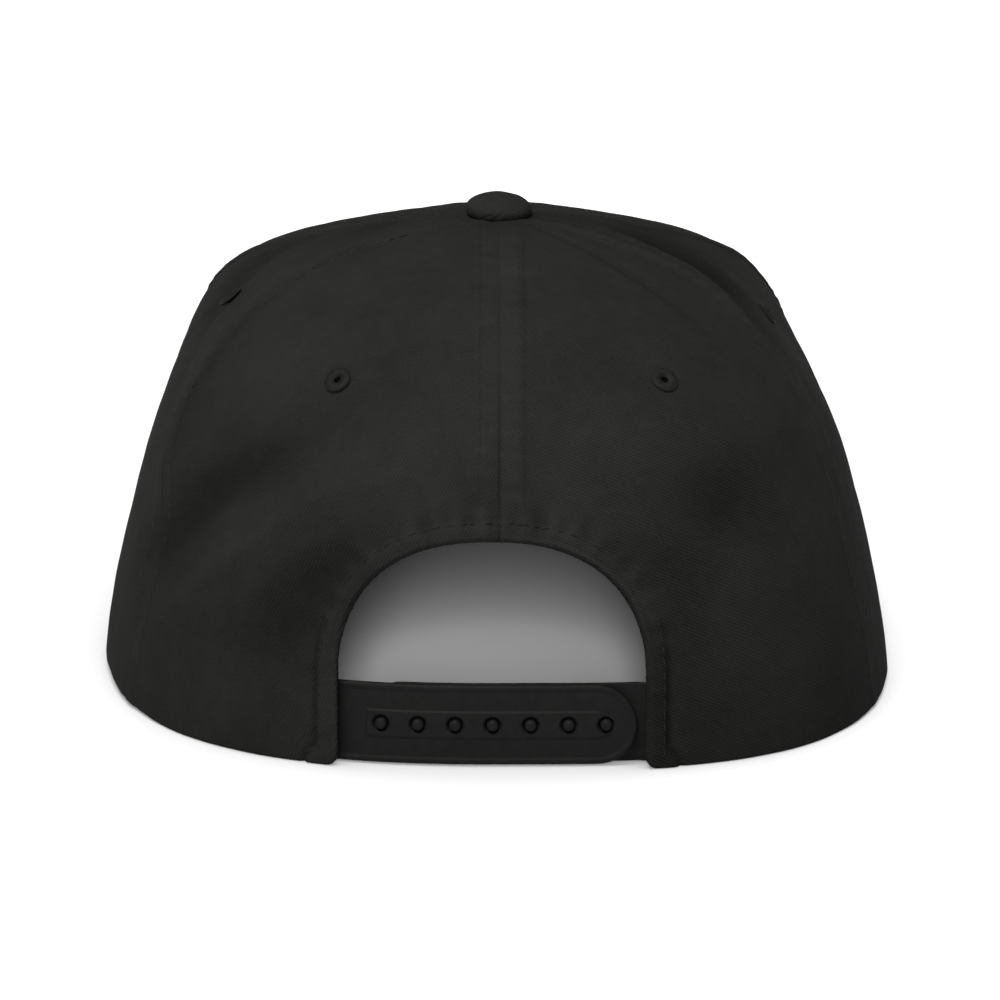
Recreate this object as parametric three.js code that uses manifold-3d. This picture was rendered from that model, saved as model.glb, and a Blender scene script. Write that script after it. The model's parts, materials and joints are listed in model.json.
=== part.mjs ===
// A six-panel snapback cap standing on its hem, in millimetres.
// +Z is up, +Y is the way the visor points, and +X is to the right of someone who looks at the back.
// A turn is an angle about the crown's axis in degrees: 0 at the centre back, 90 at the right side,
// 180 at the centre front. An up value runs from 0 at the hem to 1 at the eye under the button.

import * as THREE from 'three';
import { NURBSCurve } from 'three/addons/curves/NURBSCurve.js';
import { mergeVertices } from 'three/addons/utils/BufferGeometryUtils.js';
import Module from 'manifold-3d';

const wasm = await Module();
wasm.setup();

// Crown
const crownWidth = 178;
const crownBack = 94;
const crownFront = 94;
const crownHeight = 99;
const crownLean = 1.1;
const frontHemLift = 4;
const eyeRadius = 3.6;
const clothThickness = 2;
const seamGap = 0.3;
const clearance = 0.35;

// Side seams: how many degrees they bow forwards between the hem and the top
const rightSeamBow = 6;
const leftSeamBow = 10;
const seamBow = { insideTurn: 24, seamTurn: 60, outsideTurn: 120, fromUp: 0.08, fullUp: 0.45, downUp: 0.8 };

// Opening at the back
const archWidth = 64.8;
const archHeight = 47.7;
const archSpring = 20;
const archShift = -1.2;
const archSquareness = 2.3;

// Straps
const strapHeight = 17.5;
const strapThickness = 1.2;
const strapFloorGap = 0.4;
const strapTail = 12;
const strapEndGap = 1.6;
const strapEndBlend = 4.8;
const beadWidth = 1;
const beadRound = 0.3;
const beadRise = 0.5;
const reliefRamp = 0.4;
const bandHeight = 6.2;
const bandMargin = 5;
const pegCount = 7;
const pegMargin = 8.4;
const pegRadius = 1.4;
const pegHeadRadius = 1.6;
const pegTopRadius = 1.2;
const pegHeadHeight = 0.6;
const pegTopHeight = 0.15;
const pegNeckHeight = 0.3;
const pegStand = 0.5;
const holeRadius = 2.1;

// Sweatband
const sweatbandHeight = 30;
const sweatbandThickness = 1.5;

// Visor
const visorWidth = 178;
const visorReach = 70;
const visorThickness = 3.2;
const visorStart = 112;
const visorSideAt = 78;
const visorSquareness = 2.5;
const visorFlank = 0.3;
const visorRootUp = 0.01;

// Button and eyelets
const buttonDiameter = 14.5;
const buttonHeight = 5.2;
const eyeletDiameter = 6.3;
const eyeletHole = 2;
const eyeletNeck = 3.4;
const eyeletRise = 0.9;
const eyeletBevel = 0.45;
const eyeletLip = 0.3;

// Mesh fineness
const panelColumns = 10;
const panelRows = 17;
const roundSides = 12;
const weldTolerance = 1e-3;

const cloth = { color: 0x1d1d1c, roughness: 0.95, metalness: 0 };
const plastic = { color: 0x161616, roughness: 0.45, metalness: 0 };
const thread = { color: 0x1b1b1a, roughness: 0.85, metalness: 0 };

// The control rings of the crown, from the hem to the eye. side, back and front are shares of the
// crown's half width and half lengths. corners swell a ring between those directions, at the right
// back, the left back and the front. rises are its heights at the back, the sides and the front, as
// shares of the crown's height.
const eye = eyeRadius / (crownWidth / 2);
const rings = {
  hem: { side: 1, back: 1, front: 1, corners: [0.13, 0.07, 0], rises: [0, 0, 0] },
  band: { side: 0.98, back: 1, front: 1.005, corners: [0.12, 0.06, 0], rises: [0.17, 0.17, 0.17] },
  wall: { side: 0.917, back: 0.96, front: 1, corners: [0.085, 0.045, 0.02], rises: [0.38, 0.38, 0.38] },
  waist: { side: 0.845, back: 0.87, front: 0.97, corners: [0.07, 0.045, 0.13], rises: [0.62, 0.62, 0.64] },
  shoulder: { side: 0.69, back: 0.69, front: 0.86, corners: [0.04, 0.03, 0.25], rises: [0.87, 0.817, 0.79] },
  top: { side: 0.47, back: 0.383, front: 0.5, corners: [0, 0, -0.1], rises: [0.975, 0.928, 0.933] },
  rim: { side: 0.15, back: 0.14, front: 0.15, corners: [0, 0, 0], rises: [1, 1, 1] },
  eye: { side: eye, back: eye, front: eye, corners: [0, 0, 0], rises: [1, 1, 1] },
};

// Dents and swells of the cloth. along and across are the reach of each in degrees and in up,
// tilt turns its long way upwards by that much up per degree, and depth is in millimetres outwards.
const dents = [
  { name: 'right_shoulder_hollow', turn: 100, up: 0.51, along: 38, across: 0.16, tilt: 0, depth: -2.9 },
  { name: 'left_shoulder_swell', turn: -105, up: 0.573, along: 38, across: 0.16, tilt: 0, depth: 0.8 },
  { name: 'left_back_crease', turn: -44, up: 0.34, along: 24, across: 0.05, tilt: 0.0045, depth: -1.3 },
  { name: 'left_back_swell', turn: -42, up: 0.23, along: 24, across: 0.07, tilt: 0.0045, depth: 0.9 },
  { name: 'right_back_swell', turn: 42, up: 0.48, along: 14, across: 0.06, tilt: 0, depth: 0.9 },
  { name: 'right_back_hollow', turn: 48, up: 0.35, along: 16, across: 0.07, tilt: 0, depth: -1.2 },
];

const panels = [
  { name: 'back_panel_right', from: 0, to: 60 },
  { name: 'side_panel_right', from: 60, to: 120 },
  { name: 'front_panel_right', from: 120, to: 180 },
  { name: 'front_panel_left', from: 180, to: 240 },
  { name: 'side_panel_left', from: 240, to: 300 },
  { name: 'back_panel_left', from: 300, to: 360 },
];

const eyelets = [
  { name: 'eyelet_back_right', panel: 'back_panel_right', turn: 30.5, up: 0.532 },
  { name: 'eyelet_side_right', panel: 'side_panel_right', turn: 87, up: 0.57 },
  { name: 'eyelet_front_right', panel: 'front_panel_right', turn: 150, up: 0.56 },
  { name: 'eyelet_front_left', panel: 'front_panel_left', turn: 210, up: 0.56 },
  { name: 'eyelet_side_left', panel: 'side_panel_left', turn: 273, up: 0.61 },
  { name: 'eyelet_back_left', panel: 'back_panel_left', turn: 329.5, up: 0.532 },
];

const radians = Math.PI / 180;
const meridianDegree = 3;
const meridianKnots = [0, 0, 0, 0, 0.2, 0.4, 0.6, 0.8, 1, 1, 1, 1];

const meridians = new Map();

// The undented outer surface: a smooth curve from the hem to the eye at one turn.
function meridian(turn) {
  if (!meridians.has(turn)) {
    meridians.set(turn, meridianCurve(turn));
  }
  return meridians.get(turn);
}

function meridianCurve(turn) {
  const cosine = Math.cos(turn * radians);
  const sine = Math.sin(turn * radians);
  const isBack = cosine > 0;
  const between = Math.sin(2 * turn * radians) ** 2;
  const controls = Object.values(rings).map(({ side, back, front, corners, rises }) => {
    const [cornerRight, cornerLeft, cornerFront] = corners;
    const [riseBack, riseSide, riseFront] = rises;
    const rise = riseSide + ((isBack ? riseBack : riseFront) - riseSide) * cosine ** 2;
    const backCorner = sine > 0 ? cornerRight : cornerLeft;
    const push = 1 + (isBack ? backCorner : cornerFront) * between;
    const reach = isBack ? back * crownBack : front * crownFront;
    const lift = isBack ? 0 : frontHemLift * cosine ** 2 * (1 - rise);
    const x = side * crownWidth / 2 * sine * push + crownLean * rise;
    return new THREE.Vector4(x, -reach * cosine * push, crownHeight * rise + lift, 1);
  });
  return new NURBSCurve(meridianDegree, meridianKnots, controls);
}

function dentDepth(turn, up) {
  let depth = 0;
  for (const dent of dents) {
    const sideways = ((turn - dent.turn + 180) % 360 + 360) % 360 - 180;
    const upwards = up - dent.up - dent.tilt * sideways;
    depth += dent.depth * Math.exp(-((sideways / dent.along) ** 2) - (upwards / dent.across) ** 2);
  }
  return depth;
}

// The outer face of the cloth.
function crownPoint(turn, up) {
  const smooth = meridian(turn).getPoint(THREE.MathUtils.clamp(up, 0, 1));
  const point = new THREE.Vector3(smooth.x, smooth.y, smooth.z);
  const outwards = new THREE.Vector3(point.x, point.y, crownHeight / 4).normalize();
  return point.addScaledVector(outwards, dentDepth(turn, up));
}

function crownNormal(turn, up) {
  const aside = 0.5;
  const step = 0.004;
  const sideways = crownPoint(turn + aside, up).sub(crownPoint(turn - aside, up));
  const upwards = crownPoint(turn, Math.min(up + step, 1)).sub(crownPoint(turn, Math.max(up - step, 0)));
  return sideways.cross(upwards).normalize();
}

// A point a given depth inside the outer face. The hem itself stays level.
function insetPoint(turn, up, depth) {
  const point = crownPoint(turn, up);
  const normal = crownNormal(turn, up);
  if (up <= 0) {
    normal.setZ(0).normalize();
  }
  return point.addScaledVector(normal, -depth);
}

// Halves the lower part of a meridian until it finds the height.
function upAtHeight(turn, height) {
  const halvings = 24;
  let low = 0;
  let high = 0.6;
  for (let step = 0; step < halvings; step += 1) {
    const middle = (low + high) / 2;
    if (crownPoint(turn, middle).z < height) {
      low = middle;
    } else {
      high = middle;
    }
  }
  return low;
}

const archTurn = Math.asin(archShift / crownBack) / radians;
const backLevel = upAtHeight(archTurn, strapHeight / 2);

// The turn at a distance along the back of the hem, measured from the middle of the arch.
function turnAlongBack(distance) {
  const step = 0.5;
  const direction = Math.sign(distance);
  let turn = archTurn;
  let travelled = 0;
  let last = crownPoint(turn, backLevel);
  while (travelled < Math.abs(distance)) {
    turn += direction * step;
    const next = crownPoint(turn, backLevel);
    travelled += next.distanceTo(last);
    last = next;
  }
  const overshoot = (travelled - Math.abs(distance)) / crownBack / radians;
  return turn - direction * overshoot;
}

function asGeometry(triangles) {
  const positions = new Float32Array(triangles.flatMap((point) => [point.x, point.y, point.z]));
  const geometry = new THREE.BufferGeometry();
  geometry.setAttribute('position', new THREE.BufferAttribute(positions, 3));
  return welded(geometry);
}

// Merges shared vertices and drops the triangles that have shrunk to a line.
function welded(source) {
  const bare = new THREE.BufferGeometry();
  bare.setAttribute('position', source.getAttribute('position'));
  bare.setIndex(source.getIndex());
  const geometry = mergeVertices(bare, weldTolerance);
  const index = geometry.getIndex().array;
  const kept = [];
  for (let corner = 0; corner < index.length; corner += 3) {
    const [a, b, c] = index.slice(corner, corner + 3);
    if (a !== b && b !== c && c !== a) {
      kept.push(a, b, c);
    }
  }
  geometry.setIndex(kept);
  return geometry;
}

// A closed body between two grids of points. The grids are seen from outside with the columns
// running to the right and the rows running up. A folded grid closes on itself along its last row.
function shellBetween(columns, rows, outside, inside, folded = false) {
  const grid = (surface) => Array.from({ length: columns + 1 }, (_, i) => (
    Array.from({ length: rows + 1 }, (__, j) => surface(i, j))));
  const front = grid(outside);
  const back = grid(inside);
  const triangles = [];
  const quad = (a, b, c, d) => triangles.push(a, b, c, a, c, d);
  for (let i = 0; i < columns; i += 1) {
    for (let j = 0; j < rows; j += 1) {
      quad(front[i][j], front[i + 1][j], front[i + 1][j + 1], front[i][j + 1]);
      quad(back[i][j], back[i][j + 1], back[i + 1][j + 1], back[i + 1][j]);
    }
    quad(front[i][0], back[i][0], back[i + 1][0], front[i + 1][0]);
    if (!folded) {
      quad(front[i][rows], front[i + 1][rows], back[i + 1][rows], back[i][rows]);
    }
  }
  for (let j = 0; j < rows; j += 1) {
    quad(front[0][j], front[0][j + 1], back[0][j + 1], back[0][j]);
    quad(front[columns][j], back[columns][j], back[columns][j + 1], front[columns][j + 1]);
  }
  return asGeometry(triangles);
}

function asSolid(geometry) {
  const merged = welded(geometry);
  return new wasm.Manifold(new wasm.Mesh({
    numProp: 3,
    vertProperties: new Float32Array(merged.getAttribute('position').array),
    triVerts: new Uint32Array(merged.getIndex().array),
  }));
}

function asBuffer(solid) {
  const mesh = solid.getMesh();
  const geometry = new THREE.BufferGeometry();
  geometry.setAttribute('position', new THREE.BufferAttribute(new Float32Array(mesh.vertProperties), 3));
  geometry.setIndex(Array.from(mesh.triVerts));
  return geometry;
}

// A turned solid about +Z from a profile of radius and height pairs that starts and ends on the axis.
function turned(profile, sides) {
  const points = profile.map(([radius, height]) => new THREE.Vector2(radius, height));
  return new THREE.LatheGeometry(points, sides).rotateX(Math.PI / 2);
}

// Stands a geometry made along +Z on the crown, at a depth below the outer face.
function placeOnCrown(geometry, turn, up, depth) {
  const facing = new THREE.Quaternion().setFromUnitVectors(new THREE.Vector3(0, 0, 1), crownNormal(turn, up));
  const at = insetPoint(turn, up, depth);
  return geometry.clone().applyQuaternion(facing).translate(at.x, at.y, at.z);
}

const cap = new THREE.Group();

function addPiece(name, geometry, finish) {
  const piece = new THREE.Mesh(geometry, new THREE.MeshStandardMaterial(finish));
  piece.name = name;
  cap.add(piece);
  return piece;
}

// The arch, cut straight through the back.
function archCutter() {
  const outline = new THREE.Shape();
  const half = archWidth / 2;
  const rise = archHeight - archSpring;
  const belowHem = 5;
  const steps = 28;
  outline.moveTo(-half, -belowHem);
  for (let step = 0; step <= steps; step += 1) {
    const angle = Math.PI * (1 - step / steps);
    const across = Math.cos(angle);
    const along = Math.sin(angle);
    const x = half * Math.sign(across) * Math.abs(across) ** (2 / archSquareness);
    outline.lineTo(x, archSpring + rise * along ** (2 / archSquareness));
  }
  outline.lineTo(half, -belowHem);
  outline.closePath();
  const depth = crownBack / 2;
  const cutter = new THREE.ExtrudeGeometry(outline, { depth, bevelEnabled: false });
  return cutter.rotateX(Math.PI / 2).translate(archShift, -crownBack + depth - belowHem, 0);
}

// Where a line of the crown's even division really runs: the side seams bow forwards.
function bowedTurn(evenTurn, up) {
  const { insideTurn, seamTurn, outsideTurn, fromUp, fullUp, downUp } = seamBow;
  const signed = evenTurn > 180 ? evenTurn - 360 : evenTurn;
  const away = Math.abs(signed);
  const across = THREE.MathUtils.smoothstep(away, insideTurn, seamTurn)
    - THREE.MathUtils.smoothstep(away, seamTurn, outsideTurn);
  const along = THREE.MathUtils.smoothstep(up, fromUp, fullUp) - THREE.MathUtils.smoothstep(up, downUp, 1);
  return evenTurn + (signed > 0 ? rightSeamBow : -leftSeamBow) * across * along;
}

function panelGeometry(panel) {
  const halfGap = (turn, up) => {
    const point = crownPoint(turn, up);
    return seamGap / 2 / Math.hypot(point.x - crownLean, point.y) / radians;
  };
  const turnAt = (i, up) => {
    const from = bowedTurn(panel.from, up) + halfGap(panel.from, up);
    const to = bowedTurn(panel.to, up) - halfGap(panel.to, up);
    return THREE.MathUtils.lerp(from, to, i / panelColumns);
  };
  const surface = (depth) => (i, j) => {
    const up = j / panelRows;
    return insetPoint(turnAt(i, up), up, depth);
  };
  return shellBetween(panelColumns, panelRows, surface(0), surface(clothThickness));
}

function makePanels() {
  const arch = asSolid(archCutter());
  const drillRadius = eyeletNeck / 2 + clearance;
  const drillLength = clothThickness * 4;
  for (const panel of panels) {
    let solid = asSolid(panelGeometry(panel));
    if (panel.from === 0 || panel.to === 360) {
      solid = solid.subtract(arch);
    }
    for (const eyelet of eyelets.filter((each) => each.panel === panel.name)) {
      const drill = new THREE.CylinderGeometry(drillRadius, drillRadius, drillLength, roundSides);
      const placed = placeOnCrown(drill.rotateX(Math.PI / 2), eyelet.turn, eyelet.up, 0);
      solid = solid.subtract(asSolid(placed));
    }
    addPiece(panel.name, asBuffer(solid), cloth);
  }
}

// An eyelet is a worked ring: a flange on the cloth and a neck through it.
function makeEyelets() {
  const hole = eyeletHole / 2;
  const neck = eyeletNeck / 2;
  const flange = eyeletDiameter / 2;
  const profile = [
    [hole, -clothThickness],
    [neck, -clothThickness],
    [neck, clearance],
    [flange, clearance],
    [flange - eyeletBevel, clearance + eyeletRise],
    [hole + eyeletLip, clearance + eyeletRise],
    [hole, clearance + eyeletRise - eyeletLip],
    [hole, -clothThickness],
  ];
  for (const eyelet of eyelets) {
    const ring = addPiece(eyelet.name, welded(turned(profile, roundSides)), thread);
    ring.position.copy(crownPoint(eyelet.turn, eyelet.up));
    ring.quaternion.setFromUnitVectors(new THREE.Vector3(0, 0, 1), crownNormal(eyelet.turn, eyelet.up));
  }
}

// The button's outline from its rim to its crown, in shares of its radius and height.
const buttonOutline = [[1, 0.2], [0.93, 0.52], [0.72, 0.82], [0.38, 0.97], [0, 1]];
const buttonUnderside = 0.9;

// The covered button, with its shank in the eye of the crown.
function makeButton() {
  const radius = buttonDiameter / 2;
  const shank = eyeRadius - clearance * 2;
  const profile = [
    [0, -clothThickness],
    [shank, -clothThickness],
    [shank, clearance],
    [radius * buttonUnderside, clearance],
    ...buttonOutline.map(([across, up]) => [radius * across, buttonHeight * up]),
  ];
  const button = addPiece('button', welded(turned(profile, roundSides * 2)), cloth);
  button.position.set(crownLean, 0, crownHeight);
}

// Stations along a strap that points to the right, with its round end at zero.
function strapOutline(length, stations) {
  const radius = strapHeight / 2;
  const outline = [];
  const straight = stations.filter((at) => at < -radius && at > -length);
  const sorted = [-length, ...straight, -radius];
  for (const at of sorted) {
    outline.push({ at, side: -1, angle: null });
  }
  const steps = 8;
  for (let step = 1; step < steps; step += 1) {
    outline.push({ at: -radius, side: 0, angle: Math.PI * (step / steps - 0.5) });
  }
  for (const at of sorted.reverse()) {
    outline.push({ at, side: 1, angle: null });
  }
  return outline;
}

// A strap is a plate of concentric outlines. face gives how far each ring stands out at a station.
function strapGeometry({ length, direction, stations, ringsIn, face, depthAt, endAt }) {
  const radius = strapHeight / 2;
  const outline = strapOutline(length, stations);
  if (direction < 0) {
    outline.reverse();
  }
  const flat = (i, j) => {
    const { at, side, angle } = outline[i];
    const reach = radius - ringsIn[j];
    const along = angle === null ? at : at + reach * Math.cos(angle);
    const height = angle === null ? side * reach : reach * Math.sin(angle);
    return { along, height };
  };
  const bent = (i, j, proud) => {
    const { along, height } = flat(i, j);
    const distance = endAt + direction * along;
    const turn = turnAlongBack(distance);
    const up = upAtHeight(turn, strapFloorGap + radius + height);
    return insetPoint(turn, up, depthAt(distance) - proud);
  };
  const columns = outline.length - 1;
  const rows = ringsIn.length - 1;
  const outside = (i, j) => bent(i, j, face(flat(i, j).along, j));
  const inside = (i, j) => bent(i, j, -strapThickness);
  return shellBetween(columns, rows, outside, inside, true);
}

// The outer strap comes from the left, with a bead round its edge and a raised band of holes. The
// inner strap comes from the right, runs behind it and fills the holes with pegs.
function makeStraps() {
  const pegPitch = (archWidth - 2 * pegMargin) / (pegCount - 1);
  const pegs = Array.from({ length: pegCount }, (_, i) => (i - (pegCount - 1) / 2) * pegPitch);
  const radius = strapHeight / 2;
  const outerEnd = archWidth / 2 - strapEndGap;
  const outerLength = archWidth / 2 + outerEnd + strapTail;
  const innerEnd = outerEnd - archWidth + bandMargin;
  const innerLength = archWidth / 2 - innerEnd + strapTail;
  const seat = clothThickness + clearance;
  const outerDepth = seat + beadRise;
  const innerDepth = outerDepth + strapThickness + clearance;
  const bandStart = -(outerEnd + archWidth / 2 - bandMargin);
  const bandEdge = radius - bandHeight / 2;
  const beadRings = [0, beadRound, beadWidth, beadWidth + reliefRamp];
  const bandRings = [bandEdge - reliefRamp, bandEdge, radius];
  const stationCount = 18;
  const stationAt = (_, i) => outerLength * ((i + 0.5) / stationCount - 1);
  const spacing = Array.from({ length: stationCount }, stationAt);

  const outer = strapGeometry({
    length: outerLength,
    direction: 1,
    stations: [...spacing, bandStart - reliefRamp, bandStart].sort((a, b) => a - b),
    ringsIn: [...beadRings, ...bandRings],
    face: (along, ring) => {
      const onBead = ring === 1 || ring === 2;
      const onBand = ring > beadRings.length && along > bandStart - reliefRamp / 2;
      return (ring === 0 ? 0.5 : Number(onBead || onBand)) * beadRise;
    },
    depthAt: () => outerDepth,
    endAt: outerEnd,
  });
  let holed = asSolid(outer);
  const drillLength = (strapThickness + beadRise) * 4;
  for (const at of pegs) {
    const turn = turnAlongBack(at);
    const up = upAtHeight(turn, strapFloorGap + radius);
    const drill = new THREE.CylinderGeometry(holeRadius, holeRadius, drillLength, roundSides);
    holed = holed.subtract(asSolid(placeOnCrown(drill.rotateX(Math.PI / 2), turn, up, outerDepth)));
  }
  addPiece('strap_left', asBuffer(holed), plastic);

  const tailDepth = (distance) => {
    const blend = THREE.MathUtils.smoothstep(distance, outerEnd + clearance, outerEnd + strapEndBlend);
    return THREE.MathUtils.lerp(innerDepth, seat, blend);
  };
  const inner = strapGeometry({
    length: innerLength,
    direction: -1,
    stations: spacing.map((at) => at * innerLength / outerLength),
    ringsIn: [0, radius],
    face: () => 0,
    depthAt: tailDepth,
    endAt: innerEnd,
  });
  let pegged = asSolid(inner);
  const stand = innerDepth - seat + pegStand;
  const pegProfile = [
    [0, -strapThickness / 2],
    [pegRadius, -strapThickness / 2],
    [pegRadius, stand - pegHeadHeight - pegNeckHeight],
    [pegHeadRadius, stand - pegHeadHeight],
    [pegTopRadius, stand - pegTopHeight],
    [0, stand],
  ];
  for (const at of pegs) {
    const turn = turnAlongBack(at);
    const up = upAtHeight(turn, strapFloorGap + radius);
    const peg = placeOnCrown(turned(pegProfile, roundSides), turn, up, innerDepth);
    pegged = pegged.add(asSolid(peg));
  }
  addPiece('strap_right', asBuffer(pegged), plastic);
}

// The sweatband runs inside the hem from one strap's tail round the front to the other's.
function makeSweatband() {
  const reach = archWidth / 2 + strapTail + clearance;
  const from = turnAlongBack(reach);
  const to = 360 + turnAlongBack(-reach);
  const columns = 42;
  const rows = 2;
  const surface = (depth) => (i, j) => {
    const turn = THREE.MathUtils.lerp(from, to, i / columns);
    const hem = crownPoint(turn, 0).z + strapFloorGap;
    const up = upAtHeight(turn, hem + sweatbandHeight * j / rows);
    return insetPoint(turn, up, depth);
  };
  const seat = clothThickness + clearance;
  const band = shellBetween(columns, rows, surface(seat), surface(seat + sweatbandThickness));
  addPiece('sweatband', band, cloth);
}

// The visor's edge seen from above, from its right root (share 0) round the front to its left root.
function visorEdge(share, root) {
  const half = visorWidth / 2;
  const frontAt = crownFront + visorReach;
  const side = share < 0.5 ? 1 : -1;
  const fromRoot = share < 0.5 ? share * 2 : 2 - share * 2;
  if (fromRoot < visorFlank) {
    const along = fromRoot / visorFlank;
    const out = 1 - (1 - along) ** 2;
    return new THREE.Vector2(
      THREE.MathUtils.lerp(root.x, side * half, out),
      THREE.MathUtils.lerp(root.y, visorSideAt, along));
  }
  const angle = (fromRoot - visorFlank) / (1 - visorFlank) * Math.PI / 2;
  return new THREE.Vector2(
    side * half * Math.cos(angle) ** (2 / visorSquareness),
    visorSideAt + (frontAt - visorSideAt) * Math.sin(angle) ** (2 / visorSquareness));
}

// Shares of the way from the crown to the visor's edge, and then the rounding of that edge: how far
// in from it each step lies, and how much of the half thickness is left there, in thicknesses.
const visorSteps = [0, 0.18, 0.36, 0.54, 0.72, 0.88];
const visorRounding = [
  { inFromEdge: 0.5, left: 1 },
  { inFromEdge: 0.15, left: 0.65 },
  { inFromEdge: 0, left: 0 },
];
const visorRoundingLimit = 0.1;

function makeVisor() {
  const columns = 36;
  const rows = visorSteps.length + visorRounding.length - 1;
  const hemArch = (x) => frontHemLift * (1 - (x / (crownWidth / 2)) ** 2);
  const rootAt = (turn) => insetPoint(turn, visorRootUp, -clearance);
  const surface = (sign) => (i, j) => {
    const share = 1 - i / columns;
    const turn = THREE.MathUtils.lerp(visorStart, 360 - visorStart, share);
    const root = rootAt(turn);
    const edge = visorEdge(share, rootAt(turn < 180 ? visorStart : 360 - visorStart));
    const inner = new THREE.Vector2(root.x, root.y);
    const length = Math.max(edge.distanceTo(inner), visorThickness);
    const round = j < visorSteps.length ? null : visorRounding[j - visorSteps.length];
    const inset = round ? Math.min(round.inFromEdge * visorThickness / length, visorRoundingLimit) : 0;
    const point = inner.lerp(edge, round ? 1 - inset : visorSteps[j]);
    const halfThickness = visorThickness / 2 * (round ? round.left : 1);
    const middle = hemArch(point.x) + clearance + visorThickness / 2;
    return new THREE.Vector3(point.x, point.y, middle + sign * halfThickness);
  };
  addPiece('visor', shellBetween(columns, rows, surface(1), surface(-1)), cloth);
}

makePanels();
makeEyelets();
makeButton();
makeStraps();
makeSweatband();
makeVisor();

// The origin is the middle of the cap's footprint, on the floor.
const box = new THREE.Box3().setFromObject(cap);
const middle = box.getCenter(new THREE.Vector3());
cap.position.set(-middle.x, -middle.y, -box.min.z);

export default cap;
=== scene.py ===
# A black six-panel snapback cap standing on its hem, seen from behind.
# Pieces are worked out in millimetres about the crown's own axis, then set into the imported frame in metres.
# A turn is an angle about that axis: 0 at the centre back, 90 at the right side, 180 at the front.
# An up value runs from 0 at the hem to 1 at the eye under the button.
import json
import math

import bmesh
import bpy
import numpy as np
from mathutils import Matrix, Vector

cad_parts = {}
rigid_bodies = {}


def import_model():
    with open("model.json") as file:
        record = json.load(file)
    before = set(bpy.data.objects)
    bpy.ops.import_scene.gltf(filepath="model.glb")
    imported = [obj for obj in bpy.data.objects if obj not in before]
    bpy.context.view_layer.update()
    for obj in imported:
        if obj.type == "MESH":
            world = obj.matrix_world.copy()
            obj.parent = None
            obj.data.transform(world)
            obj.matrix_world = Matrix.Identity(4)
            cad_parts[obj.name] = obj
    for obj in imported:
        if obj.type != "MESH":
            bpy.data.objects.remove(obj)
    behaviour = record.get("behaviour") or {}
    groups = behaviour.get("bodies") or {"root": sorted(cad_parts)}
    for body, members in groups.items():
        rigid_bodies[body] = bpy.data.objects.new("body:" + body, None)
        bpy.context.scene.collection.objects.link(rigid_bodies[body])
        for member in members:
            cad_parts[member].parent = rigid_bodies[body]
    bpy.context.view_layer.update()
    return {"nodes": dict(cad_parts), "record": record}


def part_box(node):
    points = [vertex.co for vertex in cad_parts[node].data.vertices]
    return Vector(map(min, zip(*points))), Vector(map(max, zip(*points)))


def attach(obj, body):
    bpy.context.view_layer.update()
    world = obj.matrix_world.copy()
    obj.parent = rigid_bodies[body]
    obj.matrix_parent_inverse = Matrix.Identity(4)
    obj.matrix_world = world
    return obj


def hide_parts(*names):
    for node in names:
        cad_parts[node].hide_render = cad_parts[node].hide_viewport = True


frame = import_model()
print("frame loaded:", len(frame["nodes"]), "nodes")

crown = {
    "width": 178,
    "back": 94,
    "front": 94,
    "height": 99,
    "lean": 1.1,
    "hemLift": 4,
    "eyeRadius": 3.6,
    "eyeletHole": 1.45,
    "wall": 2.0,
    "thinnest": 0.5,
    "edgeRound": 0.7,
    "tailHeight": 33,
    "tailFade": 9,
}

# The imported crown's height fixes the scale, and the button's middle fixes the crown's axis.
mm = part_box("back_panel_left")[1].z / crown["height"]
buttonLow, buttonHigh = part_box("button")
buttonMiddle = (buttonLow + buttonHigh) / 2 / mm
crownAxis = np.array([buttonMiddle.x - crown["lean"], buttonMiddle.y, 0])

# Shares of the crown's half width, its half lengths and its height at each ring, in this order:
# side, back, front, cornerRight, cornerLeft, cornerFront, riseBack, riseSide, riseFront
eye = crown["eyeRadius"] / (crown["width"] / 2)
crownRings = {
    "hem": (1, 1, 1, 0.13, 0.07, 0, 0, 0, 0),
    "band": (0.98, 1, 1.005, 0.12, 0.06, 0, 0.17, 0.17, 0.17),
    "wall": (0.917, 0.96, 1, 0.085, 0.045, 0.02, 0.38, 0.38, 0.38),
    "waist": (0.845, 0.87, 0.97, 0.07, 0.045, 0.13, 0.62, 0.62, 0.64),
    "shoulder": (0.69, 0.69, 0.86, 0.04, 0.03, 0.25, 0.87, 0.817, 0.79),
    "top": (0.47, 0.383, 0.5, 0, 0, -0.1, 0.975, 0.928, 0.933),
    "rim": (0.15, 0.14, 0.15, 0, 0, 0, 1, 1, 1),
    "eye": (eye, eye, eye, 0, 0, 0, 1, 1, 1),
}

# Main dents and swells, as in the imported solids: turn, up, along, across, tilt, depth
crownDents = {
    "rightShoulderHollow": (100, 0.51, 38, 0.16, 0, -2.9),
    "leftShoulderSwell": (-105, 0.573, 38, 0.16, 0, 0.8),
    "leftBackCrease": (-44, 0.34, 24, 0.05, 0.0045, -1.3),
    "leftBackSwell": (-42, 0.23, 24, 0.07, 0.0045, 0.9),
    "rightBackSwell": (42, 0.48, 14, 0.06, 0, 0.9),
    "rightBackHollow": (48, 0.35, 16, 0.07, 0, -1.2),
}

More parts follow.
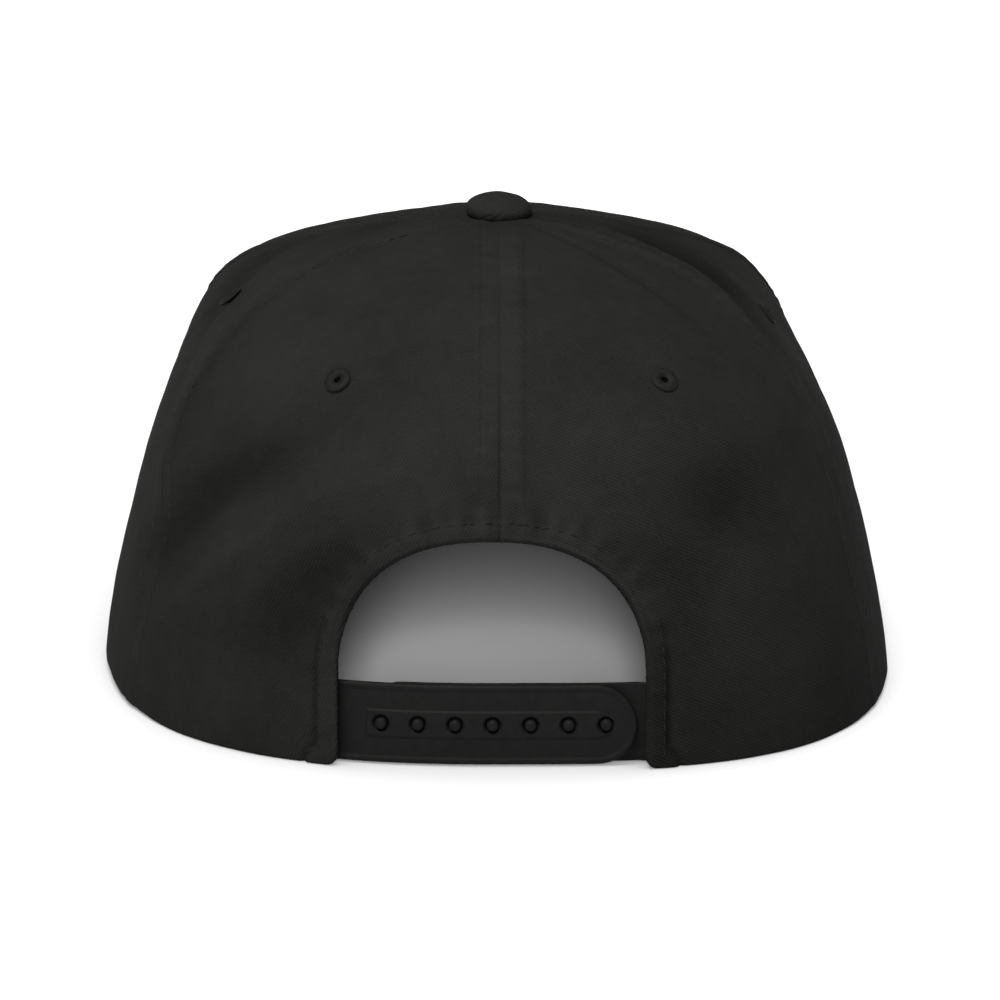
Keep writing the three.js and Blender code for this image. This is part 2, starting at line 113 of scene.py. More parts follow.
# Finer folds that only the cloth's surface has: turn, up, along, across, tilt, depth
clothFolds = {
    "leftDiagonalRidge": (-41, 0.225, 15, 0.032, 0.0102, 1.2),
    "leftFlankHollow": (-55, 0.24, 9, 0.07, 0.006, -2.0),
    "leftUpperHollow": (-43, 0.365, 13, 0.055, 0.006, -1.4),
    "leftArchHollow": (-29, 0.17, 6.5, 0.065, 0.004, -2.0),
    "leftArchHollowTop": (-25, 0.24, 6, 0.035, 0.004, -0.8),
    "leftHemSwell": (-42, 0.05, 12, 0.05, 0, 0.4),
    "leftCentreHollow": (-13, 0.385, 7, 0.04, 0.01, -0.35),
    "rightHollow": (37, 0.335, 9, 0.07, 0, -1.6),
    "rightArchHollow": (24, 0.25, 7, 0.06, -0.004, -0.9),
    "rightFootHollow": (26, 0.11, 5, 0.07, 0, -0.8),
    "rightHemSwell": (39, 0.155, 10, 0.045, 0, 0.6),
    "rightHemTuck": (46, 0.01, 22, 0.05, 0, -0.7),
    "rightTopChannel": (39.5, 0.79, 7, 0.05, -0.023, -0.95),
    "rightSideHollow": (84, 0.74, 17, 0.065, 0.0083, -2.0),
    "leftSideHollow": (-97, 0.60, 19, 0.085, -0.0065, -1.8),
    "leftShoulder": (-108, 0.86, 30, 0.06, 0, -1.0),
    "rightShoulder": (102, 0.80, 25, 0.05, 0, -0.9),
    "archLift": (3, 0.50, 16, 0.05, 0, 0.35),
    "frontRightSwell": (150, 0.50, 16, 0.10, 0, 0.5),
    "frontLeftSwell": (-150, 0.50, 16, 0.10, 0, 0.5),
    "sideRightRipple": (100, 0.22, 14, 0.08, 0.003, 0.5),
    "sideLeftRipple": (-105, 0.26, 14, 0.08, -0.003, 0.5),
    "crownSeat": (0, 1.0, 900, 0.055, 0, -0.6),
}

seamLook = {
    "ridgeWidth": 4.9,
    "ridgeRise": 0.6,
    "lappedRise": 0.2,
    "ridgeSoftness": 0.6,
    "grooveDepth": 0.4,
    "grooveWidth": 0.34,
    "stitchOffset": 4.25,
    "stitchDip": 0.14,
    "stitchLift": 0.02,
    "stitchWidth": 0.4,
    "puckers": 94,
    "puckerAcross": (3.6, 3.2),
    "puckerDepth": 0.12,
    "stitchPitch": 2.7,
    "stitchLength": 2.0,
    "threadThickness": 0.24,
}

archLook = {
    "width": 64.8,
    "height": 47.7,
    "spring": 20,
    "shift": -1.2,
    "squareness": 2.3,
    "hemWidth": 4.3,
    "hemRise": 0.35,
    "stripRise": 0.6,
    "stripFrom": 20,
    "stripTo": 34,
    "lipWidth": 1.6,
    "lipDip": 0.16,
    "lipSoftness": 0.4,
    "stitchWidth": 0.45,
    "puckerAcross": (4.2, 3),
    "topAlong": (3, 9),
    "stitchOffset": 3.7,
    "stitchDip": 0.1,
    "stripGroove": 0.4,
    "rollDepth": 0.7,
    "puckerDepth": 0.34,
    "topPucker": 0.35,
    "footRound": 2.5,
}

panelTurn = 60
panels = {
    "back_panel_right": (0, 60),
    "side_panel_right": (60, 120),
    "front_panel_right": (120, 180),
    "front_panel_left": (180, 240),
    "side_panel_left": (240, 300),
    "back_panel_left": (300, 360),
}

# The side seams bow forwards between the hem and the top, by these degrees.
seamBow = {
    "right": 6,
    "left": 10,
    "insideTurn": 24,
    "seamTurn": 60,
    "outsideTurn": 120,
    "fromUp": 0.08,
    "fullUp": 0.45,
    "downUp": 0.8,
}

# The cloth hem's rise at each side, the turns between which it comes and goes, and how far up it acts
sideLift = {
    "height": 1.4,
    "rising": (45, 75),
    "falling": (82, 97),
    "upTo": 0.14,
}

# How much paler or darker the cloth is painted, as painted shade and highlight, in hollows, on ridges, low
# down, at the right side and at seams
paintedShadingLook = {
    "hollows": 0.75,
    "ridges": 0.2,
    "low": 0.55,
    "lowHeights": (15, 75),
    "side": 0.5,
    "sideRising": (60, 66),
    "sideFalling": (100, 125),
    "seamRidge": 0.7,
    "seamPucker": 0.25,
    "seamGroove": 0.5,
    "seamStitch": 0.2,
}

# The same painted shade and highlight round the arch; the bright stretch is a painted highlight on its rolled
# edge: distance, turn and their widths.
archPaintedShading = {
    "hem": 0.35,
    "rightStrip": 0.9,
    "pucker": 1.2,
    "stitch": 0.12,
    "groove": 0.9,
    "lip": 0.5,
    "roll": 0.9,
    "paintedHighlight": 0.9,
    "paintedHighlightAcross": (1.1, 0.45),
    "paintedHighlightAlong": (12, 8),
}

# Each eyelet's turn and up
eyelets = {
    "eyelet_back_right": (30.5, 0.532),
    "eyelet_side_right": (87, 0.57),
    "eyelet_front_right": (150, 0.56),
    "eyelet_front_left": (210, 0.56),
    "eyelet_side_left": (273, 0.61),
    "eyelet_back_left": (329.5, 0.532),
}


def asArrays(*values):
    return [np.array(each, float) for each in np.broadcast_arrays(*values)]


def signedTurn(turn):
    return (turn + 180) % 360 - 180


def bell(value, middle, width):
    return np.exp(-(((value - middle) / width) ** 2))


def runningLength(path):
    # how far along a path each of its points lies
    return np.concatenate([[0], np.cumsum(np.linalg.norm(np.diff(path, axis=0), axis=1))])


def unit(vectors):
    return vectors / np.maximum(np.linalg.norm(vectors, axis=-1, keepdims=True), 1e-9)


def smoothStep(value, low, high):
    share = np.clip((value - low) / (high - low), 0, 1)
    return share * share * (3 - 2 * share)


def splineWeights(up):
    # a clamped cubic B-spline over the rings
    count, degree = len(crownRings), 3
    knots = np.concatenate([np.zeros(degree), np.linspace(0, 1, count - degree + 1), np.ones(degree)])
    up = np.clip(up, 0, 1 - 1e-9)
    weights = [((up >= knots[i]) & (up < knots[i + 1])).astype(float) for i in range(len(knots) - 1)]
    for order in range(1, degree + 1):
        raised = []
        for i in range(len(weights) - 1):
            below = knots[i + order] - knots[i]
            above = knots[i + order + 1] - knots[i + 1]
            value = np.zeros_like(up)
            if below > 0:
                value = value + (up - knots[i]) / below * weights[i]
            if above > 0:
                value = value + (knots[i + order + 1] - up) / above * weights[i + 1]
            raised.append(value)
        weights = raised
    return weights


def foldDepth(folds, turn, up):
    depth = np.zeros_like(turn)
    for atTurn, atUp, along, across, tilt, rise in folds.values():
        sideways = signedTurn(turn - atTurn)
        upwards = up - atUp - tilt * sideways
        depth += rise * np.exp(-((sideways / along) ** 2) - (upwards / across) ** 2)
    return depth


def crownSurface(turn, up):
    # the outer face of the cloth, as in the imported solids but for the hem's rise at the sides
    turn, up = asArrays(turn, up)
    angle = np.radians(turn)
    sine, cosine = np.sin(angle), np.cos(angle)
    isBack = cosine > 0
    corners = np.sin(2 * angle) ** 2
    point = np.zeros(turn.shape + (3,))
    for weight, row in zip(splineWeights(up), crownRings.values()):
        side, back, front, cornerRight, cornerLeft, cornerFront, riseBack, riseSide, riseFront = row
        rise = riseSide + (np.where(isBack, riseBack, riseFront) - riseSide) * cosine**2
        backCorner = np.where(sine > 0, cornerRight, cornerLeft)
        push = 1 + np.where(isBack, backCorner, cornerFront) * corners
        reach = np.where(isBack, back * crown["back"], front * crown["front"])
        lift = np.where(isBack, 0, crown["hemLift"] * cosine**2 * (1 - rise))
        point[..., 0] += weight * (side * crown["width"] / 2 * sine * push + crown["lean"] * rise)
        point[..., 1] -= weight * reach * cosine * push
        point[..., 2] += weight * (crown["height"] * rise + lift)
    away = np.abs(signedTurn(turn))
    flank = smoothStep(away, *sideLift["rising"]) * (1 - smoothStep(away, *sideLift["falling"]))
    point[..., 2] += sideLift["height"] * flank * (1 - smoothStep(up, 0, sideLift["upTo"]))
    outwards = point.copy()
    outwards[..., 2] = crown["height"] / 4
    return point + unit(outwards) * foldDepth(crownDents, turn, up)[..., None]


def bowedTurn(evenTurn, up):
    # where a line of the crown's even division really runs
    evenTurn, up = asArrays(evenTurn, up)
    signed = signedTurn(evenTurn)
    away = np.abs(signed)
    across = smoothStep(away, seamBow["insideTurn"], seamBow["seamTurn"])
    across -= smoothStep(away, seamBow["seamTurn"], seamBow["outsideTurn"])
    along = smoothStep(up, seamBow["fromUp"], seamBow["fullUp"]) - smoothStep(up, seamBow["downUp"], 1)
    return evenTurn + np.where(signed > 0, seamBow["right"], -seamBow["left"]) * across * along


def crownFrame(turn, up):
    # the surface with its normal and its speeds in millimetres for a degree and for the whole rise
    turn, up = asArrays(turn, up)
    aside, step = 0.5, 0.004
    point = crownSurface(turn, up)
    across = (crownSurface(turn + aside, up) - crownSurface(turn - aside, up)) / (2 * aside)
    high, low = np.minimum(up + step, 1), np.maximum(up - step, 0)
    upwards = (crownSurface(turn, high) - crownSurface(turn, low)) / (high - low)[..., None]
    normal = np.cross(across, upwards)
    normal[..., 2] *= smoothStep(up, 0, 0.02)
    return point, unit(normal), np.linalg.norm(across, axis=-1), np.linalg.norm(upwards, axis=-1)


# Small steps for the Newton searches over the crown
turnStep, upStep = 0.2, 0.002


def findOnCrown(x, z, turn, up):
    # Newton steps from a first guess to the turn and up whose point has this x and this height
    x, z, turn, up = asArrays(x, z, turn, up)
    for _ in range(12):
        here = crownSurface(turn, up)
        byTurn = (crownSurface(turn + turnStep, up) - here) / turnStep
        byUp = (crownSurface(turn, np.minimum(up + upStep, 1)) - here) / upStep
        a, b, c, d = byTurn[..., 0], byUp[..., 0], byTurn[..., 2], byUp[..., 2]
        missX, missZ = x - here[..., 0], z - here[..., 2]
        spread = a * d - b * c
        turn = turn + np.clip((d * missX - b * missZ) / spread, -8, 8)
        up = np.clip(up + np.clip((a * missZ - c * missX) / spread, -0.1, 0.1), 0, 0.95)
    return turn, up


def waver(along, seed):
    # an even, repeatable wander between about -1 and 1
    return (
        0.5 * np.sin(2.1 * along + seed)
        + 0.3 * np.sin(1.27 * along + 2.3 * seed + 1.7)
        + 0.35 * np.sin(0.53 * along + 0.7 * seed + 0.4)
    )


footPoints = 15


def archOutline(points=240):
    # from the right foot over the top to the left foot, with rounded feet
    half, rise = archLook["width"] / 2, archLook["height"] - archLook["spring"]
    foot = archLook["footRound"]
    bend = np.radians(np.linspace(90, 0, footPoints))
    footX = half + foot - foot * np.cos(bend)
    footZ = foot - foot * np.sin(bend)
    riseZ = np.linspace(foot, archLook["spring"], 18)[1:-1]
    angle = np.linspace(0, np.pi, points)
    power = 2 / archLook["squareness"]
    archX = half * np.sign(np.cos(angle)) * np.abs(np.cos(angle)) ** power
    archZ = archLook["spring"] + rise * np.abs(np.sin(angle)) ** power
    rightX = np.concatenate([footX, np.full_like(riseZ, half)])
    rightZ = np.concatenate([footZ, riseZ])
    x = np.concatenate([rightX, archX, -rightX[::-1]]) + archLook["shift"]
    z = np.concatenate([rightZ, archZ, rightZ[::-1]])
    return x, z


archX, archZ = archOutline()
archTurn, archUp = findOnCrown(archX, archZ, np.degrees(np.arcsin(archX / crown["back"])), archZ / 140)


def nearestOnPath(points, path):
    # the distance from each point to a path and how far along the path its nearest point lies
    flat = points.reshape(-1, 3)
    nearest = np.full(len(flat), 1e9)
    along = np.zeros(len(flat))
    for place, length in zip(path, runningLength(path)):
        gap = np.linalg.norm(flat - place, axis=1)
        closer = gap < nearest
        nearest[closer] = gap[closer]
        along[closer] = length
    return nearest.reshape(points.shape[:-1]), along.reshape(points.shape[:-1])


def clothRelief(turn, up, point, speed, isBack):
    # how far the cloth's outer and inner faces stand out from plain, and the painted shade and highlight on
    # it: darker in hollows, grooves, low down and at the sides, paler on ridges
    folds = foldDepth(clothFolds, turn, up)
    z, tail = point[..., 2], crown["tailHeight"]
    follow = folds * smoothStep(z, tail, tail + crown["tailFade"])
    relief = folds + 0.10 * np.sin(turn * 0.31 + up * 23 + 1.1) * np.sin(up * 17 - turn * 0.13)
    relief += 0.05 * np.sin(turn * 0.83 - up * 31) * np.sin(up * 47 + turn * 0.21 + 0.6)
    # painted shade in hollows and painted highlight on ridges, then painted shade low down and at the sides
    paintedLightAndShade = np.clip(folds, -2.4, 0) * paintedShadingLook["hollows"] + np.clip(folds, 0, 1.4) * paintedShadingLook["ridges"]
    paintedLightAndShade -= paintedShadingLook["low"] * (1 - smoothStep(z, *paintedShadingLook["lowHeights"]))
    away = np.abs(turn)
    side = smoothStep(away, *paintedShadingLook["sideRising"]) - smoothStep(away, *paintedShadingLook["sideFalling"])
    paintedLightAndShade -= paintedShadingLook["side"] * side
    topward = 0.35 + 0.65 * smoothStep(1 - up, 0.02, 0.2)
    lowSeam = 0.3 + 0.7 * smoothStep(up, 0.25, 0.5)
    width, soft = seamLook["ridgeWidth"], seamLook["ridgeSoftness"]
    for index, seam in enumerate(range(0, 360, panelTurn)):
        away = signedTurn(turn - bowedTurn(float(seam), up))
        distance = np.abs(away) * speed
        strength = topward * (lowSeam if seam else 1)
        opened = 1 if seam else 1 - 0.8 * smoothStep(up, 0.4, 0.7)
        isLapped = away * (1 if seam < 180 else -1) > 0 if seam else away < 0
        rise = np.where(isLapped, seamLook["lappedRise"], seamLook["ridgeRise"])
        ridge = 1 - smoothStep(distance, width - soft, width + soft)
        groove = bell(distance, 0, seamLook["grooveWidth"]) * opened
        stitch = bell(distance, seamLook["stitchOffset"], seamLook["stitchWidth"])
        pucker = waver(up * seamLook["puckers"], index * 1.9 + np.sign(away))
        pucker *= bell(distance, *seamLook["puckerAcross"])
        relief += strength * (rise * ridge - seamLook["stitchDip"] * stitch)
        relief += strength * (seamLook["puckerDepth"] * pucker - seamLook["grooveDepth"] * groove)
        # painted highlight on seam ridges and following the puckers, painted shade in the seam grooves and at
        # the stitches
        paintedLightAndShade += strength * (paintedShadingLook["seamRidge"] * rise * ridge + paintedShadingLook["seamPucker"] * pucker)
        paintedLightAndShade -= strength * (paintedShadingLook["seamGroove"] * groove + paintedShadingLook["seamStitch"] * stitch)
    if isBack:
        distance, along = nearestOnPath(point, archEdge)
        width = archLook["hemWidth"]
        low = 1 - smoothStep(z, archLook["stripFrom"], archLook["stripTo"])
        rise = archLook["hemRise"] + (archLook["stripRise"] - archLook["hemRise"]) * low
        hem = 1 - smoothStep(distance, width - 0.4, width + 0.5)
        lip = bell(distance, archLook["lipWidth"], archLook["lipSoftness"]) * (1 - low)
        stitch = bell(distance, archLook["stitchOffset"], archLook["stitchWidth"])
        groove = bell(distance, width + 0.5, 0.6) * low
        pucker = waver(along / 1.5, 0.8) * bell(distance, *archLook["puckerAcross"])
        top = archLook["topPucker"] * bell(turn, *archLook["topAlong"])
        pucker *= archLook["puckerDepth"] * (1 - 0.6 * low) + top
        roll = (1 - smoothStep(distance, 0, 1.5)) ** 2 * (1 - low)
        relief += rise * hem - archLook["stitchDip"] * stitch - archLook["stripGroove"] * groove
        relief += pucker - archLook["lipDip"] * lip - archLook["rollDepth"] * roll
        # painted shade and highlight round the arch: a paler hem, a darker right-hand strip, light and shade
        # following the puckers, and painted shade at the stitches, in the groove, at the lip and on the
        # rolled edge
        paintedLightAndShade += (archPaintedShading["hem"] - archPaintedShading["rightStrip"] * low * (turn > 0)) * hem
        paintedLightAndShade += archPaintedShading["pucker"] * pucker - archPaintedShading["stitch"] * stitch
        paintedLightAndShade -= archPaintedShading["groove"] * groove + archPaintedShading["lip"] * lip + archPaintedShading["roll"] * roll
        # a painted highlight on a stretch of the rolled edge
        paintedHighlight = bell(distance, *archPaintedShading["paintedHighlightAcross"]) * bell(turn, *archPaintedShading["paintedHighlightAlong"])
        paintedLightAndShade += archPaintedShading["paintedHighlight"] * paintedHighlight
    return np.maximum(relief, follow - crown["wall"] + crown["thinnest"]), follow, paintedLightAndShade


archEdge = crownSurface(archTurn, archUp)


def upAtHeight(turn, height):
    turn, height = asArrays(turn, height)
    up = height / 150
    for _ in range(10):
        here = crownSurface(turn, up)[..., 2]
        speed = (crownSurface(turn, np.minimum(up + upStep, 1))[..., 2] - here) / upStep
        up = np.clip(up + (height - here) / np.maximum(speed, 1), 0, 0.95)
    return up


def insetPoint(turn, up, depth):
    point, normal, _, _ = crownFrame(turn, up)
    return point - normal * np.asarray(depth)[..., None]


def toFrame(points):
    return (np.asarray(points) + crownAxis) * mm


def gridFaces(rows, columns, start=0, closed=False):
    index = np.arange(rows * columns).reshape(rows, columns) + start
    if closed:
        index = np.vstack([index, index[:1]])
    low, high = index[:-1], index[1:]
    quads = np.stack([low[:, :-1], high[:, :-1], high[:, 1:], low[:, 1:]], axis=-1)
    return quads.reshape(-1, 4)


def shellFaces(rows, columns, folded=False):
    # an outer and an inner grid with the same outline, closed along it; a folded one meets itself
    outer = gridFaces(rows, columns)
    inner = gridFaces(rows, columns, rows * columns)[:, ::-1]
    index = np.arange(rows * columns).reshape(rows, columns)
    outline = np.concatenate([index[0, :-1], index[:-1, -1], index[-1, :0:-1], index[:0:-1, 0]])
    following = np.roll(outline, -1)
    under = rows * columns
    sides = np.stack([outline, following, following + under, outline + under], axis=-1)
    if folded:
        last = columns - 1
        sides = sides[~((outline % columns == last) & (following % columns == last))]
    return np.concatenate([outer, inner, sides])


def linkObject(name, data):
    made = bpy.data.objects.new(name, data)
    bpy.context.scene.collection.objects.link(made)
    return made


# Points nearer to each other than this many millimetres become one.
weldDistance = 0.002


def makeObject(name, points, faces, uvs=None, paintedLightAndShade=None):
    # points in millimetres, and faces wound alike: turned outwards here by their volume
    faces = np.asarray(faces)
    corners = [np.asarray(points)[faces[:, i]] for i in range(faces.shape[1])]
    volume = 0
    for i in range(1, len(corners) - 1):
        volume += np.einsum("ij,ij->i", corners[0], np.cross(corners[i], corners[i + 1])).sum()
    if volume < 0:
        faces = faces[:, ::-1]
    mesh = bpy.data.meshes.new(name)
    mesh.from_pydata(toFrame(points).tolist(), [], faces.tolist())
    if uvs is not None:
        layer = mesh.uv_layers.new(name="cloth")
        layer.data.foreach_set("uv", np.asarray(uvs)[faces.ravel()].astype(np.float32).ravel())
    if paintedLightAndShade is not None:
        attribute = mesh.attributes.new("paintedLightAndShade", "FLOAT", "POINT")
        attribute.data.foreach_set("value", np.asarray(paintedLightAndShade, np.float32).ravel())
    weld = bmesh.new()
    weld.from_mesh(mesh)
    bmesh.ops.remove_doubles(weld, verts=weld.verts, dist=weldDistance * mm)
    bmesh.ops.dissolve_degenerate(weld, dist=weldDistance * mm / 4, edges=weld.edges)
    weld.to_mesh(mesh)
    weld.free()
    mesh.shade_smooth()
    return linkObject(name, mesh)


def makeShell(name, outer, inner, uv=None, paintedLightAndShade=None, folded=False):
    # a closed shell from two grids of points that share one map; the painted light and shade holds a grid for
    # each
    points = np.stack([outer, inner]).reshape(-1, 3)
    uvs = None if uv is None else np.stack([uv, uv]).reshape(-1, 2)
    return makeObject(name, points, shellFaces(*outer.shape[:2], folded), uvs, paintedLightAndShade)


def dropObject(piece):
    mesh = piece.data
    bpy.data.objects.remove(piece)
    bpy.data.meshes.remove(mesh)


def applyTurned(piece, operation, profile, sides, turn, up, lift=0):
    # cuts or joins with a turned form, which is then thrown away
    points, faces, _ = lathe(profile, sides, turn, up, lift)
    tool = makeObject("tool", points, faces)
    modifier = piece.modifiers.new("turned", "BOOLEAN")
    modifier.operation = operation
    modifier.solver = "MANIFOLD"
    modifier.object = tool
    applyModifiers(piece)
    dropObject(tool)


def applyModifiers(piece):
    graph = bpy.context.evaluated_depsgraph_get()
    made = bpy.data.meshes.new_from_object(piece.evaluated_get(graph))
    old = piece.data
    piece.modifiers.clear()
    piece.data = made
    bpy.data.meshes.remove(old)
    made.name = piece.name


def joinObjects(name, parts):
    # one piece from several meshes that share their materials' order
    joined = bmesh.new()
    for part in parts:
        joined.from_mesh(part.data)
    mesh = bpy.data.meshes.new(name)
    joined.to_mesh(mesh)
    joined.free()
    for material in parts[0].data.materials:
        mesh.materials.append(material)
    for part in parts:
        dropObject(part)
    return linkObject(name, mesh)


def lathe(profile, sides, turn, up, lift=0, ripple=None):
    # a closed turned form about the crown's normal at one place, from radius and height pairs
    point, normal, _, _ = crownFrame(turn, up)
    across = unit(np.cross(normal, [0.3, 0.1, 1.0]))
    upwards = np.cross(normal, across)
    return latheAt(profile, sides, point + normal * lift, across, upwards, normal, ripple)


def latheAt(profile, sides, origin, across, upwards, normal, ripple=None):
    profile = np.array(profile, float)
    angle = np.linspace(0, 2 * np.pi, sides, endpoint=False)
    radius, height = (np.repeat(profile[None, :, i], sides, axis=0) for i in (0, 1))
    if ripple is not None:
        radius, height = ripple(angle[:, None], radius, height)
    flat = np.stack([radius * np.cos(angle)[:, None], radius * np.sin(angle)[:, None]], axis=-1)
    points = origin + flat[..., :1] * across + flat[..., 1:] * upwards + height[..., None] * normal
    return points.reshape(-1, 3), gridFaces(sides, len(profile), closed=True), flat.reshape(-1, 2)


def addNode(tree, kind, settings=None, inputs=None):
    # a new node, its inputs linked to sockets or given plain values
    made = tree.nodes.new(kind)
    for key, value in (settings or {}).items():
        setattr(made, key, value)
    for key, value in (inputs or {}).items():
        if isinstance(value, Term):
            value = value.socket
        if isinstance(value, bpy.types.NodeSocket):
            tree.links.new(value, made.inputs[key])
        else:
            made.inputs[key].default_value = value
    return made


# Shader maths: a Term wraps a socket so that sums can be written as Python expressions.
class Term:
    def __init__(self, finish, socket):
        self.finish = finish
        self.socket = socket

    def calc(self, operation, *others):
        values = dict(enumerate((self,) + others))
        return self.finish.node("ShaderNodeMath", {"operation": operation}, values)

    def turned(self, operation, other):
        return self.finish.node("ShaderNodeMath", {"operation": operation}, {0: other, 1: self})

    def __add__(self, other):
        return self.calc("ADD", other)

    def __radd__(self, other):
        return self.turned("ADD", other)

    def __sub__(self, other):
        return self.calc("SUBTRACT", other)

    def __rsub__(self, other):
        return self.turned("SUBTRACT", other)

    def __mul__(self, other):
        return self.calc("MULTIPLY", other)

    def __rmul__(self, other):
        return self.turned("MULTIPLY", other)

    def __truediv__(self, other):
        return self.calc("DIVIDE", other)

    def sine(self):
        return self.calc("SINE")

    def floor(self):
        return self.calc("FLOOR")

    def between(self, low, high):
        inputs = {"Value": self, "From Min": low, "From Max": high}
        return self.finish.node("ShaderNodeMapRange", {"clamp": True}, inputs)


recordColours = {each["slot"]: each["base_color"] for each in frame["record"]["materials"]}
white = (1, 1, 1)


class Finish:
    # one material in its slot's colour, or white, and the nodes that make it
    def __init__(self, name, slot=None):
        self.material = bpy.data.materials.new(name)
        self.material.use_nodes = True
        self.tree = self.material.node_tree
        self.tree.nodes.clear()
        self.colour = recordColours[slot] if slot else white
        self.place = self.node("ShaderNodeTexCoord", output=3)

    def node(self, kind, settings=None, inputs=None, output=0):
        made = addNode(self.tree, kind, settings, inputs)
        return Term(self, made.outputs[output]) if made.outputs else None

    def clothAxes(self):
        cloth = self.node("ShaderNodeUVMap", {"uv_map": "cloth"})
        return [self.node("ShaderNodeSeparateXYZ", None, {0: cloth}, output=each) for each in (0, 1)]

    def noise(self, scale, detail=2, roughness=0.5):
        inputs = {"Vector": self.place, "Scale": scale, "Detail": detail, "Roughness": roughness}
        return self.node("ShaderNodeTexNoise", {"noise_dimensions": "3D"}, inputs)

    def shades(self, share, dark, light):
        # from a dark to a light shade of the finish's colour
        inputs = {0: share}
        for key, factor in ((6, dark), (7, light)):
            inputs[key] = (*(channel * factor for channel in self.colour), 1)
        return self.node("ShaderNodeMix", {"data_type": "RGBA"}, inputs, output=2)

    def close(self, inputs, bumps=()):
        # each bump is a height, its depth in millimetres and its strength
        for height, depth, strength in bumps:
            values = {"Height": height, "Distance": depth * mm, "Strength": strength}
            if "Normal" in inputs:
                values["Normal"] = inputs["Normal"]
            inputs["Normal"] = self.node("ShaderNodeBump", None, values)
        shader = self.node("ShaderNodeBsdfPrincipled", None, inputs)
        self.node("ShaderNodeOutputMaterial", None, {"Surface": shader})
        return self.material


twillLook = {
    "pitch": 0.68,
    "floatLength": 1.5,
    "ribDepth": 0.06,
    "fuzzDepth": 0.05,
    "napDepth": 0.07,
    "roughness": 0.93,
}


def twillFinish(name, slot, ribAngle, contrast=1.0):
    # diagonal ribs of the weave, a brushed nap, faint mottling, and the painted shade and highlight that the
    # mesh carries
    finish = Finish(name, slot)
    u, v = finish.clothAxes()
    slow = finish.noise(55)
    mottle = finish.noise(330, 3, 0.6)
    fuzz = finish.noise(2600, 2, 0.7)
    angle = math.radians(ribAngle)
    normalX, normalY = -math.sin(angle), math.cos(angle)
    across = (u * normalX + v * normalY) / twillLook["pitch"] + slow * 0.6
    along = (u * normalY - v * normalX) / twillLook["floatLength"] + mottle * 0.3
    rib = (across * (2 * math.pi)).sine() * 0.5 + 0.5
    thread = ((along + across.floor() * 0.38) * (2 * math.pi)).sine() * 0.5 + 0.5
    weave = rib * 0.8 + thread * 0.2
    # the painted shade and highlight from the mesh, darkening hollows and paling ridges in the base colour
    paintedLightAndShade = finish.node("ShaderNodeAttribute", {"attribute_name": "paintedLightAndShade"}, output=2)
    tone = (slow - 0.5) * 0.35 + (mottle - 0.5) * 0.25 + (fuzz - 0.5) * 0.45
    tone = tone + (weave - 0.5) * 0.26 * contrast
    base = finish.shades((0.42 + tone + paintedLightAndShade * 0.22).between(0, 1), 0.25, 1.15)
    bumps = [
        (mottle, twillLook["napDepth"], 0.5),
        (fuzz, twillLook["fuzzDepth"], 0.6),
        (weave, twillLook["ribDepth"], contrast),
    ]
    surface = {"Base Color": base, "Roughness": twillLook["roughness"], "Specular IOR Level": 0.06}
    return finish.close(surface, bumps)


def threadFinish(name, slot, gloss, light):
    # black polyester thread with a soft gloss and the fine lines of its ply
    finish = Finish(name, slot)
    ply = finish.noise(3200, 2, 0.6)
    slow = finish.noise(300, 1)
    base = finish.shades((ply * 0.7 + slow * 0.4 - 0.1).between(0, 1), 0.4 * light, 1.1 * light)
    surface = {"Base Color": base, "Roughness": gloss, "Specular IOR Level": 0.1}
    return finish.close(surface, [(ply, 0.05, 0.6)])


def plasticFinish(name, slot):
    # satin moulded plastic with a faint mould texture, dust and uneven gloss
    finish = Finish(name, slot)
    grain = finish.noise(1900, 2, 0.6)
    ripple = finish.noise(160)
    dust = finish.noise(520, 4, 0.7)
    base = finish.shades(dust.between(0.35, 0.85), 0.3, 0.52)
    gloss = ripple * 0.16 + grain * 0.06 + 0.5
    surface = {"Base Color": base, "Roughness": gloss, "Specular IOR Level": 0.1}
    return finish.close(surface, [(ripple, 0.12, 0.35), (grain, 0.012, 0.5)])


def cottonFinish(name, slot, pitch=0.62):
    # plain-woven cotton of the sweatband: a small over and under check with slubs
    finish = Finish(name, slot)
    slub = finish.noise(420, 3, 0.6)
    fuzz = finish.noise(2600, 2, 0.7)
    warp, weft = ((axis * (2 * math.pi / pitch) + slub * 1.2).sine() for axis in finish.clothAxes())
    check = warp * weft * 0.5 + 0.5
    base = finish.shades((slub * 0.6 + fuzz * 0.4 + check * 0.15 - 0.1).between(0, 1), 0.6, 1.6)
    surface = {"Base Color": base, "Roughness": 0.95, "Specular IOR Level": 0.08}
    return finish.close(surface, [(slub, 0.08, 0.4), (check, 0.05, 0.6), (fuzz, 0.04, 0.5)])


# Stitches: a tree that lays thread loops along a path. Its inputs start with these values, in metres.
stitchInputs = {
    "Pitch": 0.0027,
    "Length": 0.0021,
    "Thickness": 0.0003,
    "Arch": 0.0003,
    "Sink": 0.0001,
    "Turn": 0.0,
    "Uneven": 0.08,
    "Seed": 3,
    "Material": None,
}
socketKinds = {float: "NodeSocketFloat", int: "NodeSocketInt", type(None): "NodeSocketMaterial"}


